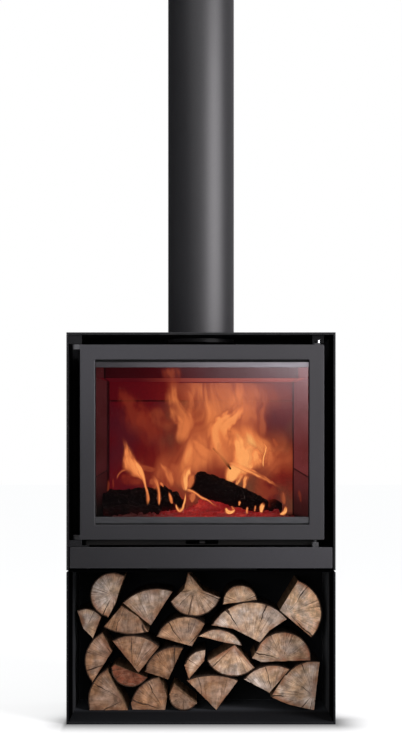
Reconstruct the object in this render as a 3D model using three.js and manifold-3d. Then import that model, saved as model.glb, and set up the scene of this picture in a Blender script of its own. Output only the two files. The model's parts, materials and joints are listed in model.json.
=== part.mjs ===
// A free-standing wood stove: a square steel cube with a glass door, on an open base
// that stores firewood, with a straight flue pipe on top.
//
// Millimetres, +Z up. The front faces -Y, and +X is to the right when looking at the door.
// The origin is on the floor, under the middle of the stove.

import * as THREE from 'three';
import { mergeVertices } from 'three/addons/utils/BufferGeometryUtils.js';
import Module from 'manifold-3d';

const wasm = await Module();
wasm.setup();

// ---------------------------------------------------------------------------
// Driving dimensions
// ---------------------------------------------------------------------------

// Whole stove
const stoveWidth = 640;
const stoveDepth = 450;
const baseHeight = 362;
const casingHeight = 566;
const sheet = 5;
const runningGap = 0.3;

// How far a cutting tool, or the end of a joined piece, runs past the face that it meets
const overcut = 1;

// Seam between the base and the casing: the plate between them is set in from the edges
const seamGap = 4;
const seamInset = 3.5;
const baseFloorThickness = 6;

// Ash drawer
const drawerHeight = 50;
const drawerLift = 5;
const drawerSideGap = 2.5;
const drawerRecess = 2;
const drawerSheet = 3;
const drawerReturn = 20;
const ashPanWidth = 260;
const ashPanDepth = 290;
const ashPanHeight = 48;
const ashPanWall = 2;

// Door
const doorHingeSideGap = 26.5;
const doorLatchSideGap = 21.5;
const doorSillGap = 17.5;
const doorTopGap = 23.5;
const doorRecess = 8;
const doorThickness = 20;
const doorBorder = 36;
const doorCornerRadius = 3;
const doorBevel = 1.5;
const glassRecess = 6;
const glassThickness = 4;
const glassOverlap = 5.5;
const glassEdgeGap = 0.5;
const topStripHeight = 12.4;
const bottomStripHeight = 15.4;
const stripThickness = 1.5;
const stripTopInset = 6;
const stripBottomInset = 3;
const sealWidth = 10;
const sealCornerRadius = 3;
const sealCompression = 0.3;

// Hinge
const hingeInset = 15;
const hingeSetback = 14;
const hingeArmHeight = 11.5;
const hingeArmRadius = 6;
const hingePinRadius = 3;
const hingePinLength = 9;
const hingeBlockGap = 1;
const hingeBlockReach = 31;
const hingeBlockMargin = 2;
const hingeFootReach = 46;
const hingeFootThickness = 3.5;
const hingeFootGap = 0.5;

// Latch: an upright rod in the door's free side, with a roller on top and a lever below
const latchWindowGap = 14.5;
const latchRodSetback = 20;
const latchRodRadius = 4;
const latchBoreGap = 0.4;
const latchCrankThickness = 3;
const latchCrankOffset = 8;
const latchCrankMargin = 2;
const latchPinRadius = 2.5;
const latchRollerRadius = 5;
const latchRollerHeight = 8;
const latchRollerChamfer = 0.6;
const latchLeverHeight = 11;
const latchLeverWidth = 15.5;
const latchLeverReach = 15;
const latchLeverDrop = 6;
const latchLeverChamfer = 2;
const catchGap = 1.2;
const catchThickness = 3;
const catchWidth = 28;

// Firebox
const fireboxGap = 7;
const fireboxMargin = 16;
const frameMargin = 13;
const fireboxDepth = 330;
const fireboxFloorLift = 11.5;
const fireboxTopDrop = 13.5;
const frontFrameFoot = 13.5;
const frontFrameHead = 8.5;
const mouthMargin = 1;
const mouthSill = 4.5;
const brickGap = 0.3;
const hearthThickness = 30;
const liningFrontThickness = 16;
const liningBackThickness = 36;
const backLiningThickness = 35;
const upperCourseHeight = 48;
const baffleThickness = 27;
const smokeGap = 32;
const smokeSlotDepth = 60;

// Grate and its opening in the hearth
const grateWidth = 180;
const grateDepth = 100;
const grateThickness = 12;
const grateLedge = 10;
const grateFrontInset = 125;
const grateSlots = 9;
const grateSlotWidth = 8;
const grateSlotBorder = 12;

// Air control: a sliding plate under the firebox floor with a short tab under the door
const airPlateWidth = 180;
const airPlateDepth = 35;
const airPlateThickness = 3;
const airPlateInset = 12;
const airTabWidth = 12;
const airTabThickness = 4;
const airTabLift = 9;
const airTabReach = 22;
const airTravel = 30;
const airSlotGap = 3;
const airInletWidth = 30;
const airInletDepth = 12;
const airInletPitch = 60;

// Flue
const flueSetback = 245;
const flueRadius = 82;
const flueWall = 2;
const flueLength = 1000;
const flueOpeningGap = 4;
const flueSeatWidth = 4;
const collarWall = 5;
const collarHeight = 28;
const collarFlangeWidth = 18;
const collarFlangeThickness = 4;

// Vents in the casing's back sheet
const ventRows = 2;
const ventColumns = 6;
const ventWidth = 60;
const ventHeight = 10;
const ventPitchX = 84;
const ventPitchZ = 22;
const ventEdge = 50;

// Firewood
const logLength = 215;
const logBackGap = 15;
const logStagger = 8;
const logStaggerTurn = 2.4;
const logRestGap = 0.6;
const barkStep = 9;
const pileHalfWidth = 315;
const pileHeight = 356;

// ---------------------------------------------------------------------------
// Places worked out from the driving dimensions
// ---------------------------------------------------------------------------

const halfWidth = stoveWidth / 2;
const halfDepth = stoveDepth / 2;
const front = -halfDepth;
const back = halfDepth;
const innerHalfWidth = halfWidth - sheet;
const casingBottom = baseHeight + seamGap;
const casingTop = casingBottom + casingHeight;
const ceiling = casingTop - sheet;

const drawerBottom = casingBottom + drawerLift;
const drawerTop = drawerBottom + drawerHeight;
const drawerFront = front + drawerRecess;

const doorLeft = -innerHalfWidth + doorHingeSideGap;
const doorRight = innerHalfWidth - doorLatchSideGap;
const doorBottom = drawerTop + doorSillGap;
const doorTop = ceiling - doorTopGap;
const doorFront = front + doorRecess;
const doorBack = doorFront + doorThickness;
const bodyX = (doorLeft + doorRight) / 2;
const doorHalfWidth = (doorRight - doorLeft) / 2;
const windowHalfWidth = doorHalfWidth - doorBorder;
const windowBottom = doorBottom + doorBorder;
const windowTop = doorTop - doorBorder;
const glassFront = doorFront + glassRecess;
const glassBack = glassFront + glassThickness;

const hingeX = -innerHalfWidth + hingeInset;
const hingeY = front + hingeSetback;

const latchX = bodyX + windowHalfWidth + latchWindowGap;
const latchY = front + latchRodSetback;

const frameFront = doorBack + fireboxGap;
const fireboxFront = frameFront + sheet;
const fireboxBack = fireboxFront + fireboxDepth;
const fireboxHalfWidth = doorHalfWidth - fireboxMargin;
const fireboxInnerHalfWidth = fireboxHalfWidth - sheet;
const fireboxBottom = doorBottom + fireboxFloorLift;
const fireboxFloor = fireboxBottom + sheet;
const fireboxTop = doorTop - fireboxTopDrop;
const fireboxInnerBack = fireboxBack - sheet;
const mouthHalfWidth = windowHalfWidth + mouthMargin;
const mouthBottom = windowBottom - mouthSill;
const mouthTop = windowTop + mouthSill;
const hearthTop = fireboxFloor + hearthThickness;
const baffleTop = fireboxTop - sheet - smokeGap;
const liningTop = baffleTop - baffleThickness;
const liningJoint = liningTop - upperCourseHeight;
const backLiningFront = fireboxInnerBack - backLiningThickness;
const grateCentreY = fireboxFront + grateFrontInset + grateDepth / 2;

const flueY = front + flueSetback;
const flueBore = flueRadius - flueWall;

// ---------------------------------------------------------------------------
// Geometry helpers
// ---------------------------------------------------------------------------

// A block between two corners.
function block(x0, x1, y0, y1, z0, z1) {
  const geometry = new THREE.BoxGeometry(x1 - x0, y1 - y0, z1 - z0);
  geometry.translate((x0 + x1) / 2, (y0 + y1) / 2, (z0 + z1) / 2);
  return geometry;
}

// An upright block with its middle at x and y.
function upright(x, y, width, depth, z0, z1) {
  return block(x - width / 2, x + width / 2, y - depth / 2, y + depth / 2, z0, z1);
}

// A flat outline in X and Y, raised from z0 to z1.
function raised(shape, z0, z1) {
  const options = { depth: z1 - z0, bevelEnabled: false, curveSegments: 12 };
  const geometry = new THREE.ExtrudeGeometry(shape, options);
  geometry.translate(0, 0, z0);
  return geometry;
}

// A flat outline in X and Z, drawn out from y0 back to y1, with an optional bevel all round.
function drawnBack(shape, y0, y1, bevel = 0) {
  const geometry = new THREE.ExtrudeGeometry(shape, {
    depth: y1 - y0 - 2 * bevel,
    bevelEnabled: bevel > 0,
    bevelSize: bevel,
    bevelOffset: -bevel,
    bevelThickness: bevel,
    bevelSegments: 2,
    curveSegments: 6,
  });
  geometry.rotateX(Math.PI / 2);
  geometry.translate(0, y1 - bevel, 0);
  return geometry;
}

// A flat outline in Y and Z, drawn out sideways from x0 to x1.
function drawnAcross(shape, x0, x1) {
  const geometry = new THREE.ExtrudeGeometry(shape, { depth: x1 - x0, bevelEnabled: false });
  geometry.rotateZ(Math.PI / 2);
  geometry.rotateY(Math.PI / 2);
  geometry.translate(x0, 0, 0);
  return geometry;
}

// An upright round rod.
function rod(x, y, radius, z0, z1, segments = 24) {
  const geometry = new THREE.CylinderGeometry(radius, radius, z1 - z0, segments);
  geometry.rotateX(Math.PI / 2);
  geometry.translate(x, y, (z0 + z1) / 2);
  return geometry;
}

// An upright ring or tube, from its section as pairs of radius and height.
function turned(x, y, section, segments) {
  const closed = [...section, section[0]];
  const points = closed.map(([radius, z]) => new THREE.Vector2(radius, z));
  const geometry = new THREE.LatheGeometry(points, segments);
  geometry.rotateX(Math.PI / 2);
  geometry.translate(x, y, 0);
  return geometry;
}

// A rectangle with rounded corners.
function rectangle(x0, x1, y0, y1, radius) {
  const outline = new THREE.Shape();
  outline.absarc(x1 - radius, y0 + radius, radius, -Math.PI / 2, 0, false);
  outline.absarc(x1 - radius, y1 - radius, radius, 0, Math.PI / 2, false);
  outline.absarc(x0 + radius, y1 - radius, radius, Math.PI / 2, Math.PI, false);
  outline.absarc(x0 + radius, y0 + radius, radius, Math.PI, 1.5 * Math.PI, false);
  return outline;
}

// A closed mesh as a solid that can be cut and joined.
function solid(geometry) {
  const bare = geometry.clone();
  bare.deleteAttribute('normal');
  bare.deleteAttribute('uv');
  const merged = mergeVertices(bare, 1e-4);
  return new wasm.Manifold(new wasm.Mesh({
    numProp: 3,
    vertProperties: new Float32Array(merged.attributes.position.array),
    triVerts: new Uint32Array(merged.index.array),
  }));
}

// A cut or joined solid as a mesh again.
function meshed(body) {
  const result = body.getMesh();
  const geometry = new THREE.BufferGeometry();
  geometry.setAttribute('position', new THREE.BufferAttribute(result.vertProperties, 3));
  geometry.setIndex(new THREE.BufferAttribute(result.triVerts, 1));
  const flat = geometry.toNonIndexed();
  flat.computeVertexNormals();
  return flat;
}

function join(...geometries) {
  return meshed(geometries.map(solid).reduce((all, next) => all.add(next)));
}

function cut(geometry, ...tools) {
  return meshed(tools.map(solid).reduce((rest, tool) => rest.subtract(tool), solid(geometry)));
}

// ---------------------------------------------------------------------------
// Finishes
// ---------------------------------------------------------------------------

function finish(color, roughness, metalness, extra = {}) {
  return new THREE.MeshStandardMaterial({ color, roughness, metalness, ...extra });
}

const finishes = {
  casingPaint: finish(0x1e1e20, 0.6, 0.2),
  doorPaint: finish(0x47464a, 0.5, 0.3),
  drawerPaint: finish(0x3c3b3f, 0.5, 0.3),
  hinge: finish(0x2a2a2d, 0.5, 0.4),
  brightSteel: finish(0xb8b8ba, 0.3, 1.0),
  strip: finish(0x8c888e, 0.35, 0.8),
  glass: finish(0x2a1210, 0.05, 0.0, { transparent: true, opacity: 0.35 }),
  rope: finish(0x8a8478, 0.95, 0.0),
  fireboxSteel: finish(0x232222, 0.7, 0.3),
  firebrick: finish(0x7a4a38, 0.95, 0.0),
  castIron: finish(0x2b2a2a, 0.7, 0.5),
  flue: finish(0x3a3a3e, 0.45, 0.3),
  wood: finish(0xb99a78, 0.9, 0.0),
};

// ---------------------------------------------------------------------------
// The stove
// ---------------------------------------------------------------------------

const stove = new THREE.Group();

function add(name, geometry, material) {
  const mesh = new THREE.Mesh(geometry, material);
  mesh.name = name;
  stove.add(mesh);
}

// Base: an open box of folded sheet that stands on the floor and stores the firewood.
function buildBase() {
  const paint = finishes.casingPaint;
  const shelf = baseFloorThickness;
  add('base_floor', block(-innerHalfWidth, innerHalfWidth, front, back, 0, shelf), paint);
  add('base_left_side', block(-halfWidth, -innerHalfWidth, front, back, 0, baseHeight), paint);
  add('base_right_side', block(innerHalfWidth, halfWidth, front, back, 0, baseHeight), paint);
  add('base_back', block(-innerHalfWidth, innerHalfWidth, back - sheet, back, shelf, baseHeight), paint);
}

// Casing: the outer cube. Its bottom plate is set in, which leaves the narrow seam above the base.
function buildCasing() {
  const paint = finishes.casingPaint;
  const plate = halfWidth - seamInset;
  const plateBack = back - seamInset;
  add('casing_bottom', block(-plate, plate, front + seamInset, plateBack, baseHeight, casingBottom), paint);
  add('casing_left_side', block(-halfWidth, -innerHalfWidth, front, back, casingBottom, ceiling), paint);
  add('casing_right_side', block(innerHalfWidth, halfWidth, front, back, casingBottom, ceiling), paint);

  const top = block(-halfWidth, halfWidth, front, back, ceiling, casingTop);
  const openingRadius = flueRadius + flueOpeningGap;
  const flueOpening = rod(0, flueY, openingRadius, ceiling - overcut, casingTop + overcut, 64);
  add('casing_top', cut(top, flueOpening), paint);

  const vents = [];
  const rowStarts = [casingBottom + ventEdge, ceiling - ventEdge - ventPitchZ];
  for (const rowStart of rowStarts) {
    for (let row = 0; row < ventRows; row += 1) {
      for (let column = 0; column < ventColumns; column += 1) {
        const x = (column - (ventColumns - 1) / 2) * ventPitchX;
        const z = rowStart + row * ventPitchZ;
        const depth = sheet + 2 * overcut;
        vents.push(upright(x, back - sheet / 2, ventWidth, depth, z - ventHeight / 2, z + ventHeight / 2));
      }
    }
  }
  const backSheet = block(-innerHalfWidth, innerHalfWidth, back - sheet, back, casingBottom, ceiling);
  add('casing_back', cut(backSheet, ...vents), paint);
}

// Firebox: a welded steel box on its own side walls, closed at the front by a frame
// that the door's rope seal presses on.
function buildFirebox() {
  const steel = finishes.fireboxSteel;
  const left = bodyX - fireboxHalfWidth;
  const right = bodyX + fireboxHalfWidth;
  const innerBack = fireboxInnerBack;
  const walls = [
    ['firebox_left_wall', left, left + sheet],
    ['firebox_right_wall', right - sheet, right],
  ];
  for (const [name, x0, x1] of walls) {
    add(name, block(x0, x1, fireboxFront, fireboxBack, casingBottom, fireboxTop), steel);
  }
  const innerLeft = left + sheet;
  const innerRight = right - sheet;
  const backWall = block(innerLeft, innerRight, innerBack, fireboxBack, fireboxFloor, fireboxTop - sheet);
  add('firebox_back_wall', backWall, steel);

  const inletY = fireboxFront + airPlateInset + airPlateDepth / 2;
  const inlets = [-1, 0, 1].map((side) => upright(
    bodyX + side * airInletPitch,
    inletY,
    airInletWidth,
    airInletDepth,
    fireboxBottom - overcut,
    fireboxFloor + overcut,
  ));
  const floorPlate = block(innerLeft, innerRight, fireboxFront, fireboxBack, fireboxBottom, fireboxFloor);
  const ashHole = ashOpening(fireboxBottom - overcut, fireboxFloor + overcut);
  add('firebox_bottom', cut(floorPlate, ashHole, ...inlets), steel);

  const topUnder = fireboxTop - sheet;
  const topPlate = block(innerLeft, innerRight, fireboxFront, fireboxBack, topUnder, fireboxTop);
  const outletRadius = flueRadius - flueSeatWidth;
  const flueOutlet = rod(0, flueY, outletRadius, topUnder - overcut, fireboxTop + overcut, 48);
  add('firebox_top', cut(topPlate, flueOutlet), steel);

  const frameHalf = doorHalfWidth - frameMargin;
  const tabSlotHalf = airTabWidth / 2 + airTravel + airSlotGap;
  const tabBottom = drawerTop + airTabLift;
  const framePlate = block(
    bodyX - frameHalf,
    bodyX + frameHalf,
    frameFront,
    fireboxFront,
    doorBottom - frontFrameFoot,
    doorTop - frontFrameHead,
  );
  const mouth = block(
    bodyX - mouthHalfWidth,
    bodyX + mouthHalfWidth,
    frameFront - overcut,
    fireboxFront + overcut,
    mouthBottom,
    mouthTop,
  );
  const tabSlot = block(
    bodyX - tabSlotHalf,
    bodyX + tabSlotHalf,
    frameFront - overcut,
    fireboxFront + overcut,
    tabBottom - airSlotGap,
    tabBottom + airTabThickness + airSlotGap,
  );
  add('firebox_front_frame', cut(framePlate, mouth, tabSlot), steel);
}

// The opening under the grate, the same in the hearth's lower part and in the firebox floor.
function ashOpening(z0, z1) {
  return upright(bodyX, grateCentreY, grateWidth - 2 * grateLedge, grateDepth - 2 * grateLedge, z0, z1);
}

// Lining: a hearth slab, splayed side bricks, a back wall in two courses and the smoke baffle.
function buildLining() {
  const brick = finishes.firebrick;
  const outer = fireboxInnerHalfWidth - brickGap;
  const frontY = fireboxFront + brickGap;
  const backY = fireboxInnerBack - brickGap;

  const hearth = block(bodyX - outer, bodyX + outer, frontY, backY, fireboxFloor, hearthTop);
  const seat = upright(
    bodyX,
    grateCentreY,
    grateWidth + 2 * brickGap,
    grateDepth + 2 * brickGap,
    hearthTop - grateThickness,
    hearthTop + overcut,
  );
  add('hearth_brick', cut(hearth, seat, ashOpening(fireboxFloor - overcut, hearthTop)), brick);

  const splayEnd = backLiningFront - brickGap;
  for (const [name, side] of [['lining_left', -1], ['lining_right', 1]]) {
    const panel = new THREE.Shape();
    panel.moveTo(bodyX + side * outer, frontY);
    panel.lineTo(bodyX + side * (outer - liningFrontThickness), frontY);
    panel.lineTo(bodyX + side * (outer - liningBackThickness), splayEnd);
    panel.lineTo(bodyX + side * outer, splayEnd);
    add(name, raised(panel, hearthTop, liningTop), brick);
  }
  const courses = [
    ['lining_back_lower', hearthTop, liningJoint],
    ['lining_back_upper', liningJoint, liningTop],
  ];
  for (const [name, z0, z1] of courses) {
    add(name, block(bodyX - outer, bodyX + outer, backLiningFront, backY, z0, z1), brick);
  }
  const baffleFront = fireboxFront + smokeSlotDepth;
  add('smoke_baffle', block(bodyX - outer, bodyX + outer, baffleFront, backY, liningTop, baffleTop), brick);
}

// Grate: a slotted cast plate that sits flush in the hearth.
function buildGrate() {
  const bottom = hearthTop - grateThickness;
  const plate = upright(bodyX, grateCentreY, grateWidth, grateDepth, bottom, hearthTop);
  const pitch = (grateWidth - 2 * grateSlotBorder) / grateSlots;
  const slotLength = grateDepth - 2 * grateSlotBorder;
  const slots = [];
  for (let slot = 0; slot < grateSlots; slot += 1) {
    const x = bodyX + (slot - (grateSlots - 1) / 2) * pitch;
    slots.push(upright(x, grateCentreY, grateSlotWidth, slotLength, bottom - overcut, hearthTop + overcut));
  }
  add('fire_grate', cut(plate, ...slots), finishes.castIron);
}

// Ash drawer: a folded front panel with an open pan behind it.
function buildDrawer() {
  const panelHalf = innerHalfWidth - drawerSideGap;
  const panelBack = drawerFront + drawerSheet;
  const section = new THREE.Shape();
  section.moveTo(drawerFront, drawerBottom);
  section.lineTo(panelBack, drawerBottom);
  section.lineTo(panelBack, drawerTop - drawerSheet);
  section.lineTo(drawerFront + drawerReturn, drawerTop - drawerSheet);
  section.lineTo(drawerFront + drawerReturn, drawerTop);
  section.lineTo(drawerFront, drawerTop);
  add('drawer_front', drawnAcross(section, -panelHalf, panelHalf), finishes.drawerPaint);

  const panBottom = casingBottom + runningGap;
  const panTop = panBottom + ashPanHeight;
  const panHalf = ashPanWidth / 2;
  const panBack = panelBack + ashPanDepth;
  const outer = block(bodyX - panHalf, bodyX + panHalf, panelBack, panBack, panBottom, panTop);
  const inner = block(
    bodyX - panHalf + ashPanWall,
    bodyX + panHalf - ashPanWall,
    panelBack + ashPanWall,
    panBack - ashPanWall,
    panBottom + ashPanWall,
    panTop + overcut,
  );
  add('ash_pan', cut(outer, inner), finishes.fireboxSteel);
}

// Air control: the plate slides under three inlets in the firebox floor.
function buildAirSlide() {
  const plateTop = fireboxBottom - runningGap;
  const plateBottom = plateTop - airPlateThickness;
  const plateFront = fireboxFront + airPlateInset;
  const tabBottom = drawerTop + airTabLift;
  const [tabLeft, tabRight] = [bodyX - airTabWidth / 2, bodyX + airTabWidth / 2];
  const [tabFront, tabBack] = [frameFront - airTabReach, plateFront + airTabThickness];
  const plateY = plateFront + airPlateDepth / 2;
  const plate = upright(bodyX, plateY, airPlateWidth, airPlateDepth, plateBottom, plateTop);
  const stem = block(tabLeft, tabRight, plateFront, tabBack, tabBottom, plateBottom + overcut);
  const tab = block(tabLeft, tabRight, tabFront, tabBack, tabBottom, tabBottom + airTabThickness);
  add('air_slide', join(plate, stem, tab), finishes.fireboxSteel);
}

// Door: a bevelled frame with the glass, its two strips and the rope seal behind it.
function buildDoor() {
  const left = doorLeft;
  const right = doorRight;
  const windowLeft = bodyX - windowHalfWidth;
  const windowRight = bodyX + windowHalfWidth;
  const frameShape = rectangle(left, right, doorBottom, doorTop, doorCornerRadius);
  frameShape.holes.push(rectangle(windowLeft, windowRight, windowBottom, windowTop, doorCornerRadius));
  const rebate = glassOverlap + glassEdgeGap;
  const glassRebate = block(
    windowLeft - rebate,
    windowRight + rebate,
    glassFront,
    doorBack + overcut,
    windowBottom - rebate,
    windowTop + rebate,
  );
  const latchBoreRadius = latchRodRadius + latchBoreGap;
  const latchBore = rod(latchX, latchY, latchBoreRadius, doorBottom - overcut, doorTop + overcut);
  const pinBoreRadius = hingePinRadius + runningGap;

  let frame = solid(drawnBack(frameShape, doorFront, doorBack, doorBevel));
  const armPlaces = [doorBottom, doorTop - hingeArmHeight];
  for (const armBottom of armPlaces) {
    const armTop = armBottom + hingeArmHeight;
    const pinBore = rod(hingeX, hingeY, pinBoreRadius, armBottom - overcut, armTop + overcut);
    frame = frame.add(solid(hingeArm(armBottom))).subtract(solid(pinBore));
  }
  frame = frame.subtract(solid(glassRebate)).subtract(solid(latchBore));
  add('door_frame', meshed(frame), finishes.doorPaint);

  const glassHalf = windowHalfWidth + glassOverlap;
  const glass = block(
    bodyX - glassHalf,
    bodyX + glassHalf,
    glassFront,
    glassBack,
    windowBottom - glassOverlap,
    windowTop + glassOverlap,
  );
  add('door_glass', glass, finishes.glass);

  const stripHalf = windowHalfWidth - runningGap;
  const stripFront = glassFront - stripThickness;
  const strips = [
    ['glass_top_strip', windowTop - stripTopInset - topStripHeight, topStripHeight],
    ['glass_bottom_strip', windowBottom + stripBottomInset, bottomStripHeight],
  ];
  for (const [name, z0, height] of strips) {
    const strip = block(bodyX - stripHalf, bodyX + stripHalf, stripFront, glassFront, z0, z0 + height);
    add(name, strip, finishes.strip);
  }

  const sealHalf = windowHalfWidth + rebate + sealCompression;
  const sealBottom = windowBottom - rebate - sealCompression;
  const sealTop = windowTop + rebate + sealCompression;
  const sealShape = rectangle(
    bodyX - sealHalf - sealWidth,
    bodyX + sealHalf + sealWidth,
    sealBottom - sealWidth,
    sealTop + sealWidth,
    sealCornerRadius + sealWidth,
  );
  const sealHole = rectangle(bodyX - sealHalf, bodyX + sealHalf, sealBottom, sealTop, sealCornerRadius);
  sealShape.holes.push(sealHole);
  add('door_seal', drawnBack(sealShape, doorBack, frameFront - sealCompression), finishes.rope);
}

// One of the door's two arms, round at the pin and running into the door's edge.
function hingeArm(bottom) {
  const arm = new THREE.Shape();
  const reach = doorLeft + 2 * doorCornerRadius;
  arm.moveTo(reach, hingeY + hingeArmRadius);
  arm.lineTo(hingeX, hingeY + hingeArmRadius);
  arm.absarc(hingeX, hingeY, hingeArmRadius, Math.PI / 2, 1.5 * Math.PI, false);
  arm.lineTo(reach, hingeY - hingeArmRadius);
  return raised(arm, bottom, bottom + hingeArmHeight);
}

// The fixed halves of the hinge: blocks on the casing, each with a pin into the door's arm.
function buildHinges() {
  const wall = -innerHalfWidth;
  const y0 = hingeY - hingeArmRadius - hingeBlockMargin;
  const y1 = hingeY + hingeArmRadius + hingeBlockMargin;
  const upperBottom = doorTop + hingeBlockGap;
  const upper = join(
    block(wall, wall + hingeBlockReach, y0, y1, upperBottom, ceiling),
    rod(hingeX, hingeY, hingePinRadius, doorTop - hingePinLength, upperBottom + overcut),
  );
  add('upper_hinge_bracket', upper, finishes.hinge);

  const footBottom = drawerTop + hingeFootGap;
  const footTop = footBottom + hingeFootThickness;
  const lowerTop = doorBottom - hingeBlockGap;
  const lower = join(
    block(wall, wall + hingeFootReach, y0, y1, footBottom, footTop),
    block(wall, wall + hingeBlockReach, y0, y1, footTop - overcut, lowerTop),
    rod(hingeX, hingeY, hingePinRadius, lowerTop - overcut, doorBottom + hingePinLength),
  );
  add('lower_hinge_bracket', lower, finishes.hinge);
}

// Latch: turning the lever under the door swings the roller on top out from behind the catch.
function buildLatch() {
  const crankBottom = doorTop + runningGap;
  const crankTop = crankBottom + latchCrankThickness;
  const rollerX = latchX + latchCrankOffset;
  const rollerBottom = crankTop + runningGap;
  const rollerTop = rollerBottom + latchRollerHeight;
  const leverTop = doorBottom - latchLeverDrop;
  const leverBottom = leverTop - latchLeverHeight;

  const crank = new THREE.Shape();
  const crankRadius = latchRodRadius + latchCrankMargin;
  crank.absarc(latchX, latchY, crankRadius, Math.PI / 2, 1.5 * Math.PI, false);
  crank.absarc(rollerX, latchY, crankRadius, -Math.PI / 2, Math.PI / 2, false);

  const lever = new THREE.Shape();
  const leverHalf = latchLeverWidth / 2;
  const leverTip = latchY - latchLeverReach;
  lever.absarc(latchX, latchY, leverHalf, 0, Math.PI, false);
  lever.lineTo(latchX - leverHalf, leverTip + latchLeverChamfer);
  lever.lineTo(latchX - leverHalf + latchLeverChamfer, leverTip);
  lever.lineTo(latchX + leverHalf - latchLeverChamfer, leverTip);
  lever.lineTo(latchX + leverHalf, leverTip + latchLeverChamfer);

  const shaft = join(
    rod(latchX, latchY, latchRodRadius, leverBottom + overcut, crankTop - overcut),
    raised(crank, crankBottom, crankTop),
    rod(rollerX, latchY, latchPinRadius, crankTop - overcut, rollerTop),
    raised(lever, leverBottom, leverTop),
  );
  add('latch_shaft', shaft, finishes.hinge);

  const bore = latchPinRadius + runningGap;
  const section = [
    [bore, rollerBottom],
    [latchRollerRadius - latchRollerChamfer, rollerBottom],
    [latchRollerRadius, rollerBottom + latchRollerChamfer],
    [latchRollerRadius, rollerTop - latchRollerChamfer],
    [latchRollerRadius - latchRollerChamfer, rollerTop],
    [bore, rollerTop],
  ];
  add('latch_roller', turned(rollerX, latchY, section, 32), finishes.brightSteel);

  const catchFront = latchY + crankRadius + catchGap;
  const catchLeaf = block(
    rollerX - catchWidth / 2,
    rollerX + catchWidth / 2,
    catchFront,
    catchFront + catchThickness,
    rollerBottom,
    ceiling,
  );
  add('latch_catch', catchLeaf, finishes.fireboxSteel);
}

// Flue: a collar on the firebox and one straight length of pipe up through the casing.
function buildFlue() {
  const seat = fireboxTop;
  const bore = flueRadius + runningGap;
  const collarSection = [
    [bore, seat],
    [bore + collarFlangeWidth, seat],
    [bore + collarFlangeWidth, seat + collarFlangeThickness],
    [bore + collarWall, seat + collarFlangeThickness],
    [bore + collarWall, seat + collarHeight],
    [bore, seat + collarHeight],
  ];
  add('flue_collar', turned(0, flueY, collarSection, 64), finishes.fireboxSteel);

  const pipeSection = [
    [flueBore, seat],
    [flueRadius, seat],
    [flueRadius, seat + flueLength],
    [flueBore, seat + flueLength],
  ];
  add('flue_pipe', turned(0, flueY, pipeSection, 64), finishes.flue);
}

// ---------------------------------------------------------------------------
// Firewood
// ---------------------------------------------------------------------------

// Split logs, seen from the front, in the order in which they are stacked. The corners run
// anticlockwise. The bark is an arc from the first corner to the second that stands out from
// the chord between them by the bulge, and the other sides are split flat. The table is drawn
// for a store of the pile's half width and height, and is stretched to the store that is there.
const logs = [
  { bulge: 20, corners: [[-234, 110], [-277, 7], [-181, 7]] },
  { bulge: 15, corners: [[-104, 91], [-175, 25], [-170, 8], [-88, 7], [-84, 42]] },
  { bulge: 28, corners: [[-80, 54], [-10, 34], [-68, 78]] },
  { bulge: 14, corners: [[93, 81], [-36, 81], [38, 7]] },
  { bulge: 14, corners: [[295, 129], [208, 94], [173, 40], [221, 20], [281, 7]] },
  { bulge: 22, corners: [[221, 109], [106, 83], [170, 49]] },
  { bulge: 36, corners: [[-224, 112], [-133, 88], [-215, 121]] },
  { bulge: 26, corners: [[-44, 163], [-140, 103], [-81, 84]] },
  { bulge: 30, corners: [[15, 130], [134, 114], [84, 172]] },
  { bulge: 31, corners: [[-246, 197], [-270, 72], [-220, 150]] },
  { bulge: 21, corners: [[-103, 170], [-220, 184], [-155, 104]] },
  { bulge: 12, corners: [[12, 178], [-42, 138], [-30, 104], [8, 148]] },
  { bulge: 62, corners: [[274, 131], [135, 152], [126, 137], [150, 127]] },
  { bulge: 30, corners: [[103, 166], [-7, 190], [60, 174]] },
  { bulge: 12, corners: [[-247, 234], [-308, 248], [-293, 203], [-268, 178]] },
  { bulge: 12, corners: [[-242, 214], [-130, 202], [-155, 240], [-197, 267]] },
  { bulge: 33, corners: [[11, 230], [-111, 196], [-22, 172]] },
  { bulge: 51, corners: [[215, 234], [26, 218], [80, 209], [146, 175], [170, 204]] },
  { bulge: 42, corners: [[-76, 277], [48, 288], [5, 306], [-32, 350], [-42, 310]] },
  { bulge: 20, corners: [[-70, 308], [-195, 279], [-125, 222]] },
  { bulge: 67, corners: [[-189, 334], [-230, 230], [-213, 262]] },
  { bulge: 44, corners: [[141, 284], [54, 272]] },
  { bulge: 42, corners: [[275, 194], [241, 337], [195, 262]] },
];

// The outline of one log: its bark arc in short steps, then its split corners, stretched
// to the store.
function logOutline({ bulge, corners }) {
  const [start, end, ...splitCorners] = corners.map(([x, z]) => new THREE.Vector2(x, z));
  const chord = end.clone().sub(start);
  const halfChord = chord.length() / 2;
  const radius = (halfChord ** 2 + bulge ** 2) / (2 * bulge);
  const outward = new THREE.Vector2(chord.y, -chord.x).normalize();
  const middle = start.clone().add(end).multiplyScalar(0.5);
  const centre = middle.addScaledVector(outward, bulge - radius);
  const startAngle = start.clone().sub(centre).angle();
  const endAngle = end.clone().sub(centre).angle();
  const sweep = (endAngle - startAngle + 2 * Math.PI) % (2 * Math.PI);
  const steps = Math.max(3, Math.round(radius * sweep / barkStep));
  const bark = [];
  for (let step = 0; step <= steps; step += 1) {
    const angle = startAngle + sweep * step / steps;
    bark.push(new THREE.Vector2(Math.cos(angle), Math.sin(angle)).multiplyScalar(radius).add(centre));
  }
  const stretch = new THREE.Vector2(
    innerHalfWidth / pileHalfWidth,
    (baseHeight - baseFloorThickness) / pileHeight,
  );
  return [...bark, ...splitCorners].map((point) => point.multiply(stretch));
}

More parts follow.
